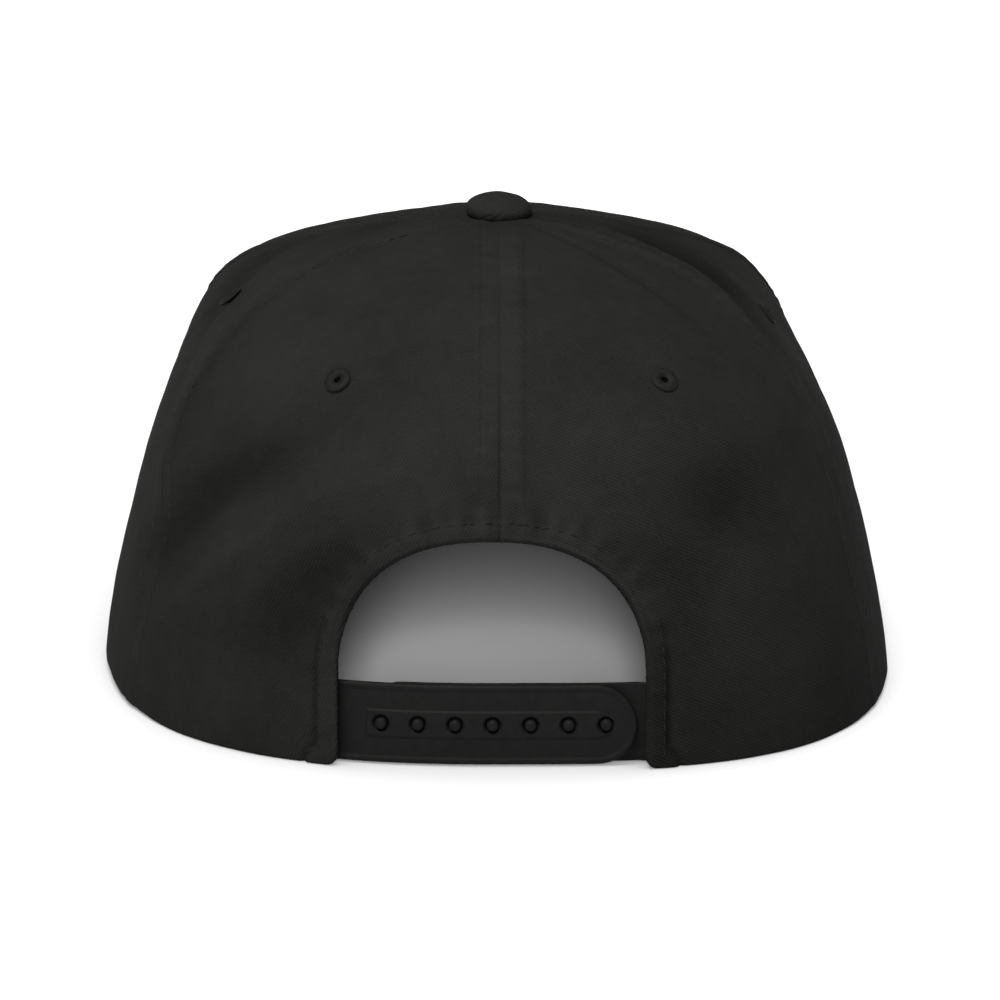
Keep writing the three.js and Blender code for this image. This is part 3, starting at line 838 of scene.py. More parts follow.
def stitchTree():
    tree = bpy.data.node_groups.new("stitchRow", "GeometryNodeTree")
    tree.interface.new_socket("Geometry", in_out="INPUT", socket_type="NodeSocketGeometry")
    for name, value in stitchInputs.items():
        kind = socketKinds[type(value)]
        socket = tree.interface.new_socket(name, in_out="INPUT", socket_type=kind)
        if value is not None:
            socket.default_value = value
    tree.interface.new_socket("Geometry", in_out="OUTPUT", socket_type="NodeSocketGeometry")

    given = tree.nodes.new("NodeGroupInput").outputs

    def add(kind, settings=None, inputs=None, output=0):
        return addNode(tree, kind, settings, inputs).outputs[output]

    def scaled(name, factor):
        return add("ShaderNodeMath", {"operation": "MULTIPLY"}, {0: given[name], 1: factor})

    path = add("GeometryNodeMeshToCurve", None, {"Mesh": given["Geometry"]})
    evenly = {"Curve": path, "Length": given["Pitch"]}
    spaced = add("GeometryNodeResampleCurve", {"mode": "LENGTH"}, evenly)
    asVector = {"data_type": "FLOAT_VECTOR"}
    outward = add("GeometryNodeInputNamedAttribute", asVector, {"Name": "outward"})
    tangent = add("GeometryNodeInputTangent")
    axes = {"primary_axis": "Z", "secondary_axis": "X"}
    facing = add("FunctionNodeAxesToRotation", axes, {0: outward, 1: tangent})
    limits = {2: scaled("Uneven", -1.0), 3: given["Uneven"], 8: given["Seed"]}
    wander = add("FunctionNodeRandomValue", {"data_type": "FLOAT"}, limits, output=1)
    turned = add("ShaderNodeMath", {"operation": "ADD"}, {0: given["Turn"], 1: wander})
    spin = add("FunctionNodeAxisAngleToRotation", None, {0: (0, 0, 1), 1: turned})
    rotation = add("FunctionNodeRotateRotation", {"rotation_space": "LOCAL"}, {0: facing, 1: spin})
    sunk = scaled("Sink", -1.0)
    start = add("ShaderNodeCombineXYZ", None, {0: scaled("Length", -0.5), 2: sunk})
    middle = add("ShaderNodeCombineXYZ", None, {2: scaled("Arch", 2.0)})
    end = add("ShaderNodeCombineXYZ", None, {0: scaled("Length", 0.5), 2: sunk})
    bow = {"Resolution": 4, "Start": start, "Middle": middle, "End": end}
    loop = add("GeometryNodeCurveQuadraticBezier", None, bow)
    ring = {"Resolution": 6, "Radius": scaled("Thickness", 0.5)}
    section = add("GeometryNodeCurvePrimitiveCircle", {"mode": "RADIUS"}, ring)
    swept = {"Curve": loop, "Profile Curve": section, "Fill Caps": True}
    thread = add("GeometryNodeCurveToMesh", None, swept)
    laid = {"Points": spaced, "Instance": thread, "Rotation": rotation}
    placed = add("GeometryNodeInstanceOnPoints", None, laid)
    real = add("GeometryNodeRealizeInstances", None, {0: placed})
    smooth = add("GeometryNodeSetShadeSmooth", None, {0: real})
    dyed = add("GeometryNodeSetMaterial", None, {"Geometry": smooth, "Material": given["Material"]})
    tree.links.new(dyed, tree.nodes.new("NodeGroupOutput").inputs[0])
    return tree


stitchRowTree = stitchTree()


def stitchAlong(name, paths, material, **sizes):
    # paths are lists of (points, outward, closed) in millimetres; sizes are the tree's inputs
    points, outward, edges, start = [], [], [], 0
    for pathPoints, pathOutward, closed in paths:
        count = len(pathPoints)
        points.append(toFrame(pathPoints))
        outward.append(pathOutward)
        edges += [(start + i, start + i + 1) for i in range(count - 1)]
        if closed:
            edges.append((start + count - 1, start))
        start += count
    mesh = bpy.data.meshes.new(name)
    mesh.from_pydata(np.concatenate(points).tolist(), edges, [])
    attribute = mesh.attributes.new("outward", "FLOAT_VECTOR", "POINT")
    attribute.data.foreach_set("vector", np.concatenate(outward).astype(np.float32).ravel())
    piece = linkObject(name, mesh)
    modifier = piece.modifiers.new("stitches", "NODES")
    modifier.node_group = stitchRowTree
    inputs = {item.name: item for item in stitchRowTree.interface.items_tree if item.in_out == "INPUT"}
    for key, value in {**sizes, "material": material}.items():
        socket = inputs[key[0].upper() + key[1:]]
        isLength = key in ("pitch", "length", "thickness", "arch", "sink")
        modifier[socket.identifier] = float(value) * mm if isLength else value
    applyModifiers(piece)
    return piece


def dress(piece, replaced=(), material=None):
    # what every finished piece needs: its finish, its body, and the solids that it stands for
    if material is not None:
        piece.data.materials.clear()
        piece.data.materials.append(material)
    if replaced:
        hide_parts(*replaced)
    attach(piece, "root")


print("tools ready")

# Where the panels' grids have lines: at the seams, at the hem and round the arch, in millimetres
edgeSteps = [0, 0.12, 0.3, 0.5, 0.75, 1.05, 1.5, 2.2, 3, 3.5, 3.85, 4.15, 4.45, 4.8, 5.2, 5.8, 6.8]
hemSteps = [0, 0.03, 0.1, 0.22, 0.4, 0.62, 0.9, 1.4, 2.1, 3]
archSteps = [0, 0.03, 0.1, 0.22, 0.4, 0.62, 0.9, 1.4, 2.1, 2.9, 3.6, 4, 4.3, 4.6, 4.9, 5.2, 5.6, 6.2, 7]
clothPitch = 0.95


def ladder(length, first, last, between):
    # places from 0 to the length: given steps at both ends and even ones between them
    low, high = np.array(first, float), length - np.array(last, float)[::-1]
    middle = np.linspace(low[-1], high[0], between + 2)[1:-1]
    return np.concatenate([low, middle, high])


def meridianTable(turn, count=600):
    up = np.linspace(0, 1, count)
    points = crownSurface(np.full(count, float(turn)), up)
    return up, runningLength(points)


def panelGrid(low, high):
    upTable, lengthTable = meridianTable((low + high) / 2)
    rowCount = int(lengthTable[-1] / clothPitch)
    rows = np.interp(ladder(lengthTable[-1], hemSteps, [0], rowCount), lengthTable, upTable)
    _, _, speed, _ = crownFrame(np.full(len(rows), (low + high) / 2), rows)
    width = speed * (high - low)
    squeeze = np.minimum(1, width / (2 * edgeSteps[-1] + 6))
    columnCount = int((width[0] - 2 * edgeSteps[-1]) / clothPitch)
    steps = [np.array(edgeSteps) * small for small in squeeze]
    share = np.array([ladder(length, own, own, columnCount) / length for length, own in zip(width, steps)])
    return low + (high - low) * share, np.repeat(rows[:, None], share.shape[1], axis=1)


# The flat map's radius at the hem; the eye lies near its middle.
mapRadius = 1.04


def flatPlace(turn, up):
    # a flat map of the crown, with the eye at its middle, on which the back panels' grids are drawn
    angle = np.radians(turn)
    return (mapRadius - np.asarray(up))[..., None] * np.stack([np.sin(angle), np.cos(angle)], axis=-1)


class MapLine:
    # a line on the flat map that is measured by its real length on the crown
    def __init__(self, turn, up):
        self.flat = flatPlace(turn, up)
        self.lengths = runningLength(crownSurface(turn, up))
        self.length = self.lengths[-1]

    def at(self, place):
        return np.stack([np.interp(place, self.lengths, self.flat[:, i]) for i in (0, 1)], axis=-1)


def backPanelGrid(side):
    # rows run from the hem round the arch to the centre seam, columns from the arch to the side seam
    order = slice(None) if side > 0 else slice(None, None, -1)
    turn, up = archTurn[order], archUp[order]
    footMiddle = footPoints // 2
    seamTurn = panelTurn * side
    topUp = np.interp(0, turn[::-side], up[::-side])
    onSide = footMiddle + np.flatnonzero(turn[footMiddle:] * side > 0)
    arch = MapLine(np.append(turn[onSide], 0), np.append(up[onSide], topUp))
    hemTurn = np.linspace(turn[0], seamTurn, 200)[1:]
    hem = MapLine(
        np.concatenate([turn[: footMiddle + 1][::-1], hemTurn]),
        np.concatenate([up[: footMiddle + 1][::-1], np.zeros_like(hemTurn)]),
    )
    rise = np.linspace(0, 1, 500)
    rim = np.linspace(seamTurn, 0, 40)[1:]
    seam = MapLine(
        np.concatenate([np.full(len(rise), seamTurn), rim]),
        np.concatenate([rise, np.ones_like(rim)]),
    )
    centre = MapLine(np.zeros(300), np.linspace(topUp, 1, 300))
    eyeArc = seam.length - MapLine(np.full(len(rise), seamTurn), rise).length
    rowCount = int(seam.length / clothPitch * 0.86)
    columnCount = int(centre.length / clothPitch * 0.9)
    steps = np.array(edgeSteps)
    archPlaces = ladder(arch.length, hemSteps, steps, rowCount)
    seamPlaces = ladder(seam.length, hemSteps, steps * eyeArc / steps[-1], rowCount)
    hemPlaces = ladder(hem.length, archSteps, steps, columnCount)
    centrePlaces = ladder(centre.length, archSteps, steps * 0.45, columnCount)
    u = ((archPlaces / arch.length + seamPlaces / seam.length) / 2)[:, None, None]
    v = ((hemPlaces / hem.length + centrePlaces / centre.length) / 2)[None, :, None]
    fromArch, fromSeam = arch.at(archPlaces)[:, None], seam.at(seamPlaces)[:, None]
    fromHem, fromCentre = hem.at(hemPlaces)[None], centre.at(centrePlaces)[None]
    corners = (
        (1 - u) * (1 - v) * fromHem[:, :1]
        + (1 - u) * v * fromHem[:, -1:]
        + u * (1 - v) * fromCentre[:, :1]
        + u * v * fromCentre[:, -1:]
    )
    flat = (1 - v) * fromArch + v * fromSeam + (1 - u) * fromHem + u * fromCentre - corners
    turn = np.degrees(np.arctan2(flat[..., 0], flat[..., 1]))
    return turn, mapRadius - np.hypot(flat[..., 0], flat[..., 1])


def roundInset(distance, radius):
    share = np.clip(distance / radius, 0, 1)
    return radius * (1 - np.sqrt(1 - (1 - share) ** 2))


def makePanel(name, low, high):
    isBack = "back" in name
    side = 1 if high <= 180 else -1
    turn, up = backPanelGrid(side) if isBack else panelGrid(low, high)
    if isBack and side < 0:
        low, high = -panelTurn, 0
    turn = bowedTurn(np.clip(turn, low, high), up)
    point, normal, speed, upSpeed = crownFrame(turn, up)
    relief, follow, paintedLightAndShade = clothRelief(turn, up, point, speed, isBack)
    freeEdge = up * upSpeed
    if isBack:
        freeEdge = np.minimum(freeEdge, nearestOnPath(point, archEdge)[0])
    wall = crown["wall"]
    inset = roundInset(freeEdge, wall / 2 * crown["edgeRound"])
    nearEdge = 1 - smoothStep(freeEdge, 0, 3)
    outer = point - normal * (inset - relief)[..., None]
    inner = point - normal * (wall - inset - follow * (1 - nearEdge) - relief * nearEdge)[..., None]
    for face in (outer, inner):
        face[..., 2] = np.maximum(face[..., 2], 0)
    middle = (low + high) / 2
    uv = np.stack([(turn - middle) * speed, np.interp(up, *meridianTable(middle))], axis=-1)
    piece = makeShell("cloth_" + name, outer, inner, uv, [paintedLightAndShade, np.zeros_like(paintedLightAndShade)])
    hole = crown["eyeletHole"]
    eyelet = eyelets["eyelet_" + name.replace("_panel", "")]
    applyTurned(piece, "DIFFERENCE", [(0, -5), (hole, -5), (hole, 5), (0, 5)], 24, *eyelet)
    return piece


# The weave's direction on each panel, in degrees from the hem's line
ribAngles = {
    "back_panel_right": -27,
    "side_panel_right": 63,
    "front_panel_right": -63,
    "front_panel_left": 63,
    "side_panel_left": -63,
    "back_panel_left": 70,
}

for panelName, (low, high) in panels.items():
    panel = makePanel(panelName, low, high)
    material = twillFinish("twill_" + panelName, "crown_twill", ribAngles[panelName])
    dress(panel, [panelName], material)
print("panels sewn")


def seamPath(seam, offset, low, high, count=160):
    up = np.linspace(low, high, count)
    turn = bowedTurn(np.full(count, float(seam)), up)
    _, _, speed, _ = crownFrame(turn, up)
    return onCloth(turn + offset / speed, up)


def onCloth(turn, up):
    point, normal, speed, _ = crownFrame(turn, up)
    isBack = np.all(np.abs(signedTurn(turn)) < 50)
    relief, _, _ = clothRelief(turn, up, point, speed, isBack)
    return point + normal * (relief + seamLook["stitchLift"])[..., None], normal, False


def crownStitches():
    paths = []
    for seam in range(0, 360, panelTurn):
        low = 0.445 if seam == 0 else 0.012
        for side in (-1, 1):
            paths.append(seamPath(seam, side * seamLook["stitchOffset"], low, 0.93))
    x, z = archOutline()
    outward = unit(np.stack([np.gradient(z), -np.gradient(x)], axis=-1))
    outward *= np.sign((outward * np.stack([x, z - archLook["spring"] / 2], axis=-1)).sum(axis=1).mean())
    offset = archLook["stitchOffset"]
    x, z = x + outward[:, 0] * offset, z + outward[:, 1] * offset
    keep = slice(footPoints, -footPoints)
    turn, up = findOnCrown(x[keep], z[keep], archTurn[keep], archUp[keep])
    paths.append(onCloth(turn, up))
    return paths


blackThread = threadFinish("thread_black", "eyelet_thread", 0.6, 0.8)
stitching = stitchAlong(
    "crown_stitching",
    crownStitches(),
    blackThread,
    pitch=seamLook["stitchPitch"],
    length=seamLook["stitchLength"],
    thickness=seamLook["threadThickness"],
    arch=0.1,
    sink=0.16,
    turn=0.1,
)
dress(stitching)
print("crown stitched")

eyeletLook = {
    "outer": 2.9,
    "inner": 0.9,
    "rise": 0.75,
    "lean": 0.26,
    "threads": 42,
    "thread": 0.38,
    "neck": 1.3,
}

eyeletThread = threadFinish("thread_eyelet", "eyelet_thread", 0.6, 0.6)


def makeEyelet(name, turn, up):
    # a firm ring under satin stitches that run from its outer edge over into the hole
    outer, inner, rise = eyeletLook["outer"], eyeletLook["inner"], eyeletLook["rise"]
    middle, half = (outer + inner) / 2, (outer - inner) / 2
    bend = np.radians(np.linspace(0, 180, 13))
    crest = [(middle + half * np.cos(each), 0.1 + rise * 0.8 * np.sin(each)) for each in bend]
    profile = [(eyeletLook["neck"], -2.2), (eyeletLook["neck"] + 0.1, -0.3), (outer - 0.3, -0.25)] + crest
    profile += [(inner, -2.2), (eyeletLook["neck"], -2.2)]

    def leaned(angle, radii, heights):
        lean = eyeletLook["lean"] * np.cos(angle - 0.75 * np.pi) * smoothStep(heights, -0.5, 0)
        return radii, heights + lean * radii / outer

    points, faces, uvs = lathe(profile, 48, turn, up, ripple=leaned)
    ring = makeObject("ring", points, faces, uvs)
    ring.data.materials.append(eyeletThread)
    place, _, _ = lathe([(middle, 0.18)], 96, turn, up, ripple=leaned)
    _, normal, _, _ = crownFrame(turn, up)
    path = [(place, np.tile(normal, (len(place), 1)), True)]
    pitch = 2 * math.pi * middle / eyeletLook["threads"]
    wraps = stitchAlong(
        "wraps",
        path,
        eyeletThread,
        pitch=pitch,
        length=half * 2.08,
        thickness=eyeletLook["thread"],
        arch=rise * 0.72,
        sink=0.1,
        turn=math.pi / 2 + 0.12,
        uneven=0.1,
        seed=11,
    )
    return joinObjects("worked_" + name, [ring, wraps])


for eyeletName, (turn, up) in eyelets.items():
    dress(makeEyelet(eyeletName, turn, up), [eyeletName])
print("eyelets worked")

buttonLook = {
    "diameter": 14.8,
    "height": 5.1,
    "widestAt": 2.1,
    "creaseDepth": 0.22,
    "pleats": 16,
    "pleatDepth": 0.08,
    "tilt": 3,
    "nod": 4,
    "drop": 0.8,
    "flankPower": 0.82,
    "crestPower": 1.1,
    "underside": [(0, -1.6), (3.1, -1.6), (3.2, 0.05), (6.2, 0.1), (6.95, 0.4), (7.25, 0.9), (7.4, 1.5)],
    "creaseRadius": 7,
}

# Small creases at the button's front: place aside, lean, the height it leans from, width, height and reach
buttonCreases = (
    (0, 1.2, 2.2, 0.35, 2.0, 0.9),
    (2, 1.6, 2.0, 0.3, 1.8, 0.7),
)


def makeButton():
    # cloth drawn over a domed shell, gathered into small pleats under its rim
    radius, height = buttonLook["diameter"] / 2, buttonLook["height"]
    bend = np.radians(np.linspace(0, 90, 22))
    widest = buttonLook["widestAt"]
    domeRadii = radius * np.cos(bend) ** buttonLook["flankPower"]
    domeHeights = widest + (height - widest) * np.sin(bend) ** buttonLook["crestPower"]
    dome = list(zip(domeRadii, domeHeights))
    dome[-1] = (0, height)
    profile = np.array(buttonLook["underside"] + dome)
    fine = np.linspace(0, 1, 90)
    places = runningLength(profile)
    places /= places[-1]
    profile = np.stack([np.interp(fine, places, profile[:, i]) for i in (0, 1)], axis=-1)

    def pleats(angle, radii, heights):
        gather = bell(heights, 1, 0.9) * smoothStep(radii, 4, 6.5)
        wave = np.sin(angle * buttonLook["pleats"] + 0.7 * np.sin(angle * 3)) * 0.6
        wave += 0.4 * np.sin(angle * buttonLook["pleats"] * 1.5 + 1.3)
        soft = 0.05 * np.sin(angle * 2 + radii) + 0.04 * np.sin(angle * 5 - radii * 1.4)
        front = (angle - 1.5 * np.pi) * buttonLook["creaseRadius"]
        crease = 0
        for aside, lean, leanFrom, width, at, reach in buttonCreases:
            crease += bell(front + aside, lean * (heights - leanFrom), width) * bell(heights, at, reach)
        radii = radii - buttonLook["creaseDepth"] * crease
        heights = heights + soft * smoothStep(heights, 1, 3) * smoothStep(radii, 0.2, 2.5)
        return radii + buttonLook["pleatDepth"] * wave * gather, heights

    origin = np.array([crown["lean"], 0, crown["height"] - buttonLook["drop"]])
    tilt, nod = math.radians(buttonLook["tilt"]), math.radians(buttonLook["nod"])
    above = unit(np.array([math.tan(tilt), -math.tan(nod), 1]))
    across = unit(np.cross([0, 1, 0], above))
    points, faces, uvs = latheAt(profile, 96, origin, across, np.cross(above, across), above, pleats)
    return makeObject("covered_button", points, faces, uvs)


dress(makeButton(), ["button"], twillFinish("twill_button", "button_twill", 40, 0.3))
print("button covered")

strapLook = {
    "height": 17.5,
    "thickness": 1.2,
    "floorGap": 0.4,
    "tail": 12,
    "endGap": 1.6,
    "beadRoom": 0.5,
    "beadRise": 0.3,
    "bandRise": 0.3,
    "bandHeight": 6.2,
    "bandMargin": 5,
    "pegs": 7,
    "pegMargin": 8.4,
    "pegRadius": 1.3,
    "pegHead": 1.18,
    "pegStand": 0.5,
    "holeRadius": 2.05,
    "clearance": 0.35,
    "pitch": 1.1,
}

archMiddle = math.degrees(math.asin(archLook["shift"] / crown["back"]))
backLevel = upAtHeight(archMiddle, strapLook["height"] / 2)
backTurns = archMiddle + np.arange(-90, 90.01, 0.25)
backLengths = runningLength(crownSurface(backTurns, backLevel))
backLengths -= np.interp(archMiddle, backTurns, backLengths)


def turnAlongBack(distance):
    return np.interp(distance, backLengths, backTurns)


def strapOutline(length, stations):
    # along, side and angle of each station round the strap, whose round end lies at zero
    radius = strapLook["height"] / 2
    straight = np.array(sorted({at for at in stations if -length < at < -radius} | {-length, -radius}))
    bend = np.radians(np.linspace(-90, 90, 27))[1:-1]
    along = np.concatenate([straight, np.full(len(bend), -radius), straight[::-1]])
    side = np.concatenate([-np.ones(len(straight)), np.zeros(len(bend)), np.ones(len(straight))])
    angle = np.concatenate([np.full(len(straight), np.nan), bend, np.full(len(straight), np.nan)])
    return along, side, angle


def makeStrap(name, length, direction, stations, ringsIn, face, depthAt, endAt):
    radius = strapLook["height"] / 2
    along, side, angle = strapOutline(length, stations)
    reach = radius - np.array(ringsIn)[None, :]
    isRound = ~np.isnan(angle)[:, None]
    bend = np.nan_to_num(angle)[:, None]
    alongGrid = along[:, None] + np.where(isRound, reach * np.cos(bend), 0)
    height = np.where(isRound, reach * np.sin(bend), side[:, None] * reach)
    distance = endAt + direction * alongGrid
    turn = turnAlongBack(distance)
    up = upAtHeight(turn, strapLook["floorGap"] + radius + height)
    depth = depthAt(distance)
    inFrom = np.broadcast_to(np.array(ringsIn)[None, :], height.shape)
    edge = roundInset(inFrom, 0.3)
    outer = insetPoint(turn, up, depth - face(alongGrid, height, inFrom) + edge)
    inner = insetPoint(turn, up, depth + strapLook["thickness"] - edge)
    return makeShell(name, outer, inner, folded=True)


def makeStraps():
    half, radius = archLook["width"] / 2, strapLook["height"] / 2
    outerEnd = half - strapLook["endGap"]
    outerLength = half + outerEnd + strapLook["tail"]
    innerEnd = outerEnd - archLook["width"] + strapLook["bandMargin"]
    innerLength = half - innerEnd + strapLook["tail"]
    seat = crown["wall"] + strapLook["clearance"]
    outerDepth = seat + strapLook["beadRoom"]
    innerDepth = outerDepth + strapLook["thickness"] + strapLook["clearance"]
    bandStart = -(outerEnd + half - strapLook["bandMargin"])
    bandHalf = strapLook["bandHeight"] / 2
    pegPitch = (archLook["width"] - 2 * strapLook["pegMargin"]) / (strapLook["pegs"] - 1)
    pegs = (np.arange(strapLook["pegs"]) - (strapLook["pegs"] - 1) / 2) * pegPitch
    beadRings = [0, 0.04, 0.12, 0.22, 0.34, 0.5, 0.68, 0.85, 1.0, 1.15, 1.3, 1.42, 1.55]
    bandSteps = (-0.6, -0.25, -0.1, 0, 0.1, 0.2, 0.32, 0.44, 0.6, 1.0, 2.0)
    bandRings = [radius - bandHalf + each for each in bandSteps]
    rings = beadRings + [2, 2.8, 3.6, 4.4] + bandRings + [radius]

    def faceRise(along, height, inFrom):
        bead = np.sin(np.pi * np.clip((inFrom + 0.1) / 1.6, 0, 1))
        fromAxis = np.where(along > -radius, np.hypot(along + radius, height), np.abs(height))
        inside = np.minimum(bandHalf - fromAxis, along - bandStart)
        band = smoothStep(inside, -0.15, 0.55)
        return np.maximum(strapLook["beadRise"] * bead, strapLook["bandRise"] * band)

    spread = np.arange(-outerLength, -radius, strapLook["pitch"])
    stations = list(spread) + [bandStart + each for each in (-0.3, -0.1, 0, 0.1, 0.2, 0.32, 0.44, 0.6)]
    outer = makeStrap(
        "snap_strap_left", outerLength, 1, stations, rings, faceRise, lambda at: outerDepth, outerEnd)
    pegTurns = turnAlongBack(pegs)
    pegPlaces = list(zip(pegTurns, upAtHeight(pegTurns, strapLook["floorGap"] + radius)))
    hole, face = strapLook["holeRadius"], strapLook["bandRise"] - outerDepth
    profile = [(0, -9), (hole * 0.7, -9), (hole * 0.7, face - 0.75), (hole * 0.84, face - 0.35)]
    profile += [(hole, face - 0.02), (hole * 1.14, face + 0.15), (hole * 1.14, 3), (0, 3)]
    for turn, up in pegPlaces:
        applyTurned(outer, "DIFFERENCE", profile, 40, turn, up)

    def tailDepth(distance):
        out = smoothStep(distance, outerEnd + strapLook["clearance"], outerEnd + strapLook["endGap"] * 3)
        return innerDepth + (seat - innerDepth) * out

    plain = [0, 0.04, 0.12, 0.22, 0.34, 0.6, 1.2, 2.4, 3.8, 5.2, 6.6, 7.8, radius]
    innerSpread = list(np.arange(-innerLength, -radius, strapLook["pitch"]))
    inner = makeStrap(
        "snap_strap_right", innerLength, -1, innerSpread, plain, lambda *_: 0, tailDepth, innerEnd)
    stand = innerDepth - seat + strapLook["pegStand"]
    head, stem = strapLook["pegHead"], strapLook["pegRadius"]
    bend = np.radians(np.linspace(0, 90, 9))
    dome = [(head * np.cos(each), stand - 0.6 + 0.6 * np.sin(each)) for each in bend]
    dome[-1] = (0, stand)
    profile = [(0, -0.6), (stem, -0.6), (stem, stand - 1.15), (head * 0.97, stand - 0.8)] + dome
    for turn, up in pegPlaces:
        applyTurned(inner, "UNION", profile, 28, turn, up, -innerDepth)
    for strap in (outer, inner):
        strap.data.set_sharp_from_angle(angle=math.radians(42))
    return outer, inner


plastic = plasticFinish("plastic_satin", "strap_plastic")
outerStrap, innerStrap = makeStraps()
dress(outerStrap, ["strap_left"], plastic)
dress(innerStrap, ["strap_right"], plastic)
print("straps fastened")

bandLook = {
    "height": 30,
    "thickness": 1.5,
    "floorGap": 0.4,
    "stitchHeight": 3.2,
    "columns": 420,
}


def bandUp(turn, rise):
    hem = crownSurface(turn, 0)[..., 2] + bandLook["floorGap"]
    return upAtHeight(turn, hem + rise)


def makeSweatband():
    reach = archLook["width"] / 2 + strapLook["tail"] + strapLook["clearance"]
    start, end = turnAlongBack(reach), 360 + turnAlongBack(-reach)
    thickness, height = bandLook["thickness"], bandLook["height"]
    steps = [0, 0.05, 0.2, 0.42, 0.75, 1.2, 2, 2.8, 3.2, 3.6]
    rise = ladder(height, steps, steps[:6], 22)
    turn, rise = asArrays(np.linspace(start, end, bandLook["columns"])[:, None], rise)
    up = bandUp(turn, rise)
    seat = crown["wall"] + strapLook["clearance"]
    inset = roundInset(np.minimum(rise, height - rise), thickness / 2)
    loose = 0.25 * waver(turn / 5, 1.4) * smoothStep(rise, 8, height)
    dip = 0.2 * bell(rise, bandLook["stitchHeight"], 0.5)
    outer = insetPoint(turn, up, seat + inset)
    inner = insetPoint(turn, up, seat + thickness - inset + loose * (1 - inset / thickness * 2) - dip)
    uv = np.stack([np.radians(turn) * crown["width"] / 2, rise], axis=-1)
    band = makeShell("sewn_sweatband", outer, inner, uv)
    row = np.linspace(start + 1, end - 1, 500)
    rowUp = bandUp(row, bandLook["stitchHeight"])
    _, normal, _, _ = crownFrame(row, rowUp)
    path = [(insetPoint(row, rowUp, seat + thickness - 0.18), -normal, False)]
    return band, path


sweatband, bandPath = makeSweatband()
dress(sweatband, ["sweatband"], cottonFinish("cotton_sweatband", "sweatband_cloth"))
bandThread = {"pitch": 3.0, "length": 2.3, "thickness": 0.32, "arch": 0.12, "sink": 0.1}
bandStitches = stitchAlong("sweatband_stitching", bandPath, blackThread, **bandThread)
dress(bandStitches)
print("sweatband sewn")

visorLook = {
    "width": 178,
    "reach": 70,
    "thickness": 3.2,
    "start": 112,
    "sideAt": 78,
    "squareness": 2.5,
    "flank": 0.3,
    "gap": 0.12,
    "rows": 8,
    "firstRow": 4.5,
    "rowPitch": 6.2,
    "rowDip": 0.2,
    "columns": 300,
    "linesAcross": 84,
}


visorRows = visorLook["firstRow"] + np.arange(visorLook["rows"]) * visorLook["rowPitch"]


def visorEdge(share, first, last):
    # the rim's point for each share of the way round, from the first end of the root to the last
    root = np.where((share < 0.5)[:, None], first, last)
    half, front = visorLook["width"] / 2, crown["front"] + visorLook["reach"]
    side = np.where(share < 0.5, 1.0, -1.0)
    fromRoot = np.where(share < 0.5, share * 2, 2 - share * 2)
    flank, power = visorLook["flank"], 2 / visorLook["squareness"]
    along = np.clip(fromRoot / flank, 0, 1)
    flankX = root[..., 0] + (side * half - root[..., 0]) * (1 - (1 - along) ** 2)
    flankY = root[..., 1] + (visorLook["sideAt"] - root[..., 1]) * along
    angle = np.clip((fromRoot - flank) / (1 - flank), 0, 1) * np.pi / 2
    roundX = side * half * np.cos(angle) ** power
    roundY = visorLook["sideAt"] + (front - visorLook["sideAt"]) * np.sin(angle) ** power
    onFlank = fromRoot < flank
    return np.stack([np.where(onFlank, flankX, roundX), np.where(onFlank, flankY, roundY)], axis=-1)


def visorMiddle(x):
    rise = crown["hemLift"] * (1 - (x / (crown["width"] / 2)) ** 2)
    return rise + strapLook["clearance"] + visorLook["thickness"] / 2


def makeVisor():
    count = visorLook["columns"]
    share = np.linspace(0, 1, count)
    turn = visorLook["start"] + (360 - 2 * visorLook["start"]) * share
    root = insetPoint(turn, np.full(count, 0.01), np.full(count, -visorLook["gap"]))[:, :2]
    edge = visorEdge(share, root[0], root[-1])
    rim = visorEdge(np.linspace(0, 1, 2000), root[0], root[-1])
    length = np.linalg.norm(edge - root, axis=1)
    thickness = visorLook["thickness"]
    edgeIn = np.array([0, 0.03, 0.12, 0.28, 0.5, 0.8, 1.15, 1.6, 2.3, 3.1])
    along = np.array([
        ladder(each, [0], edgeIn * min(1, each / 6), visorLook["linesAcross"]) / each
        for each in np.maximum(length, 0.02)
    ])
    flat = root[:, None] + (edge - root)[:, None] * along[..., None]
    rimThree = np.concatenate([rim, np.zeros((len(rim), 1))], axis=1)
    flatThree = np.concatenate([flat, np.zeros(flat.shape[:2] + (1,))], axis=2)
    fromRim, _ = nearestOnPath(flatThree, rimThree[::4])
    inset = roundInset(fromRim, thickness / 2)
    relief = np.zeros_like(fromRim)
    for at in visorRows:
        relief -= visorLook["rowDip"] * bell(fromRim, at, 0.55)
    relief += 0.12 * bell(fromRim, 2.2, 1.2)
    relief += 0.03 * np.sin(flat[..., 0] * 0.21) * np.sin(flat[..., 1] * 0.17)
    middle = visorMiddle(flat[..., 0])
    half = thickness / 2 - inset
    top = np.dstack([flat, middle + half + relief * (half > 0.2)])
    bottom = np.dstack([flat, middle - half - relief * (half > 0.2)])
    bottom[..., 2] = np.maximum(bottom[..., 2], 0.05)
    # paler towards the rim, and painted shade and highlight following the relief: darker in the stitch rows'
    # dips
    paintedLightAndShade = 0.6 * bell(fromRim, 0, 1.6) + relief * 1.5
    visor = makeShell("covered_visor", top, bottom, flat, [paintedLightAndShade, paintedLightAndShade])
    return visor, rim


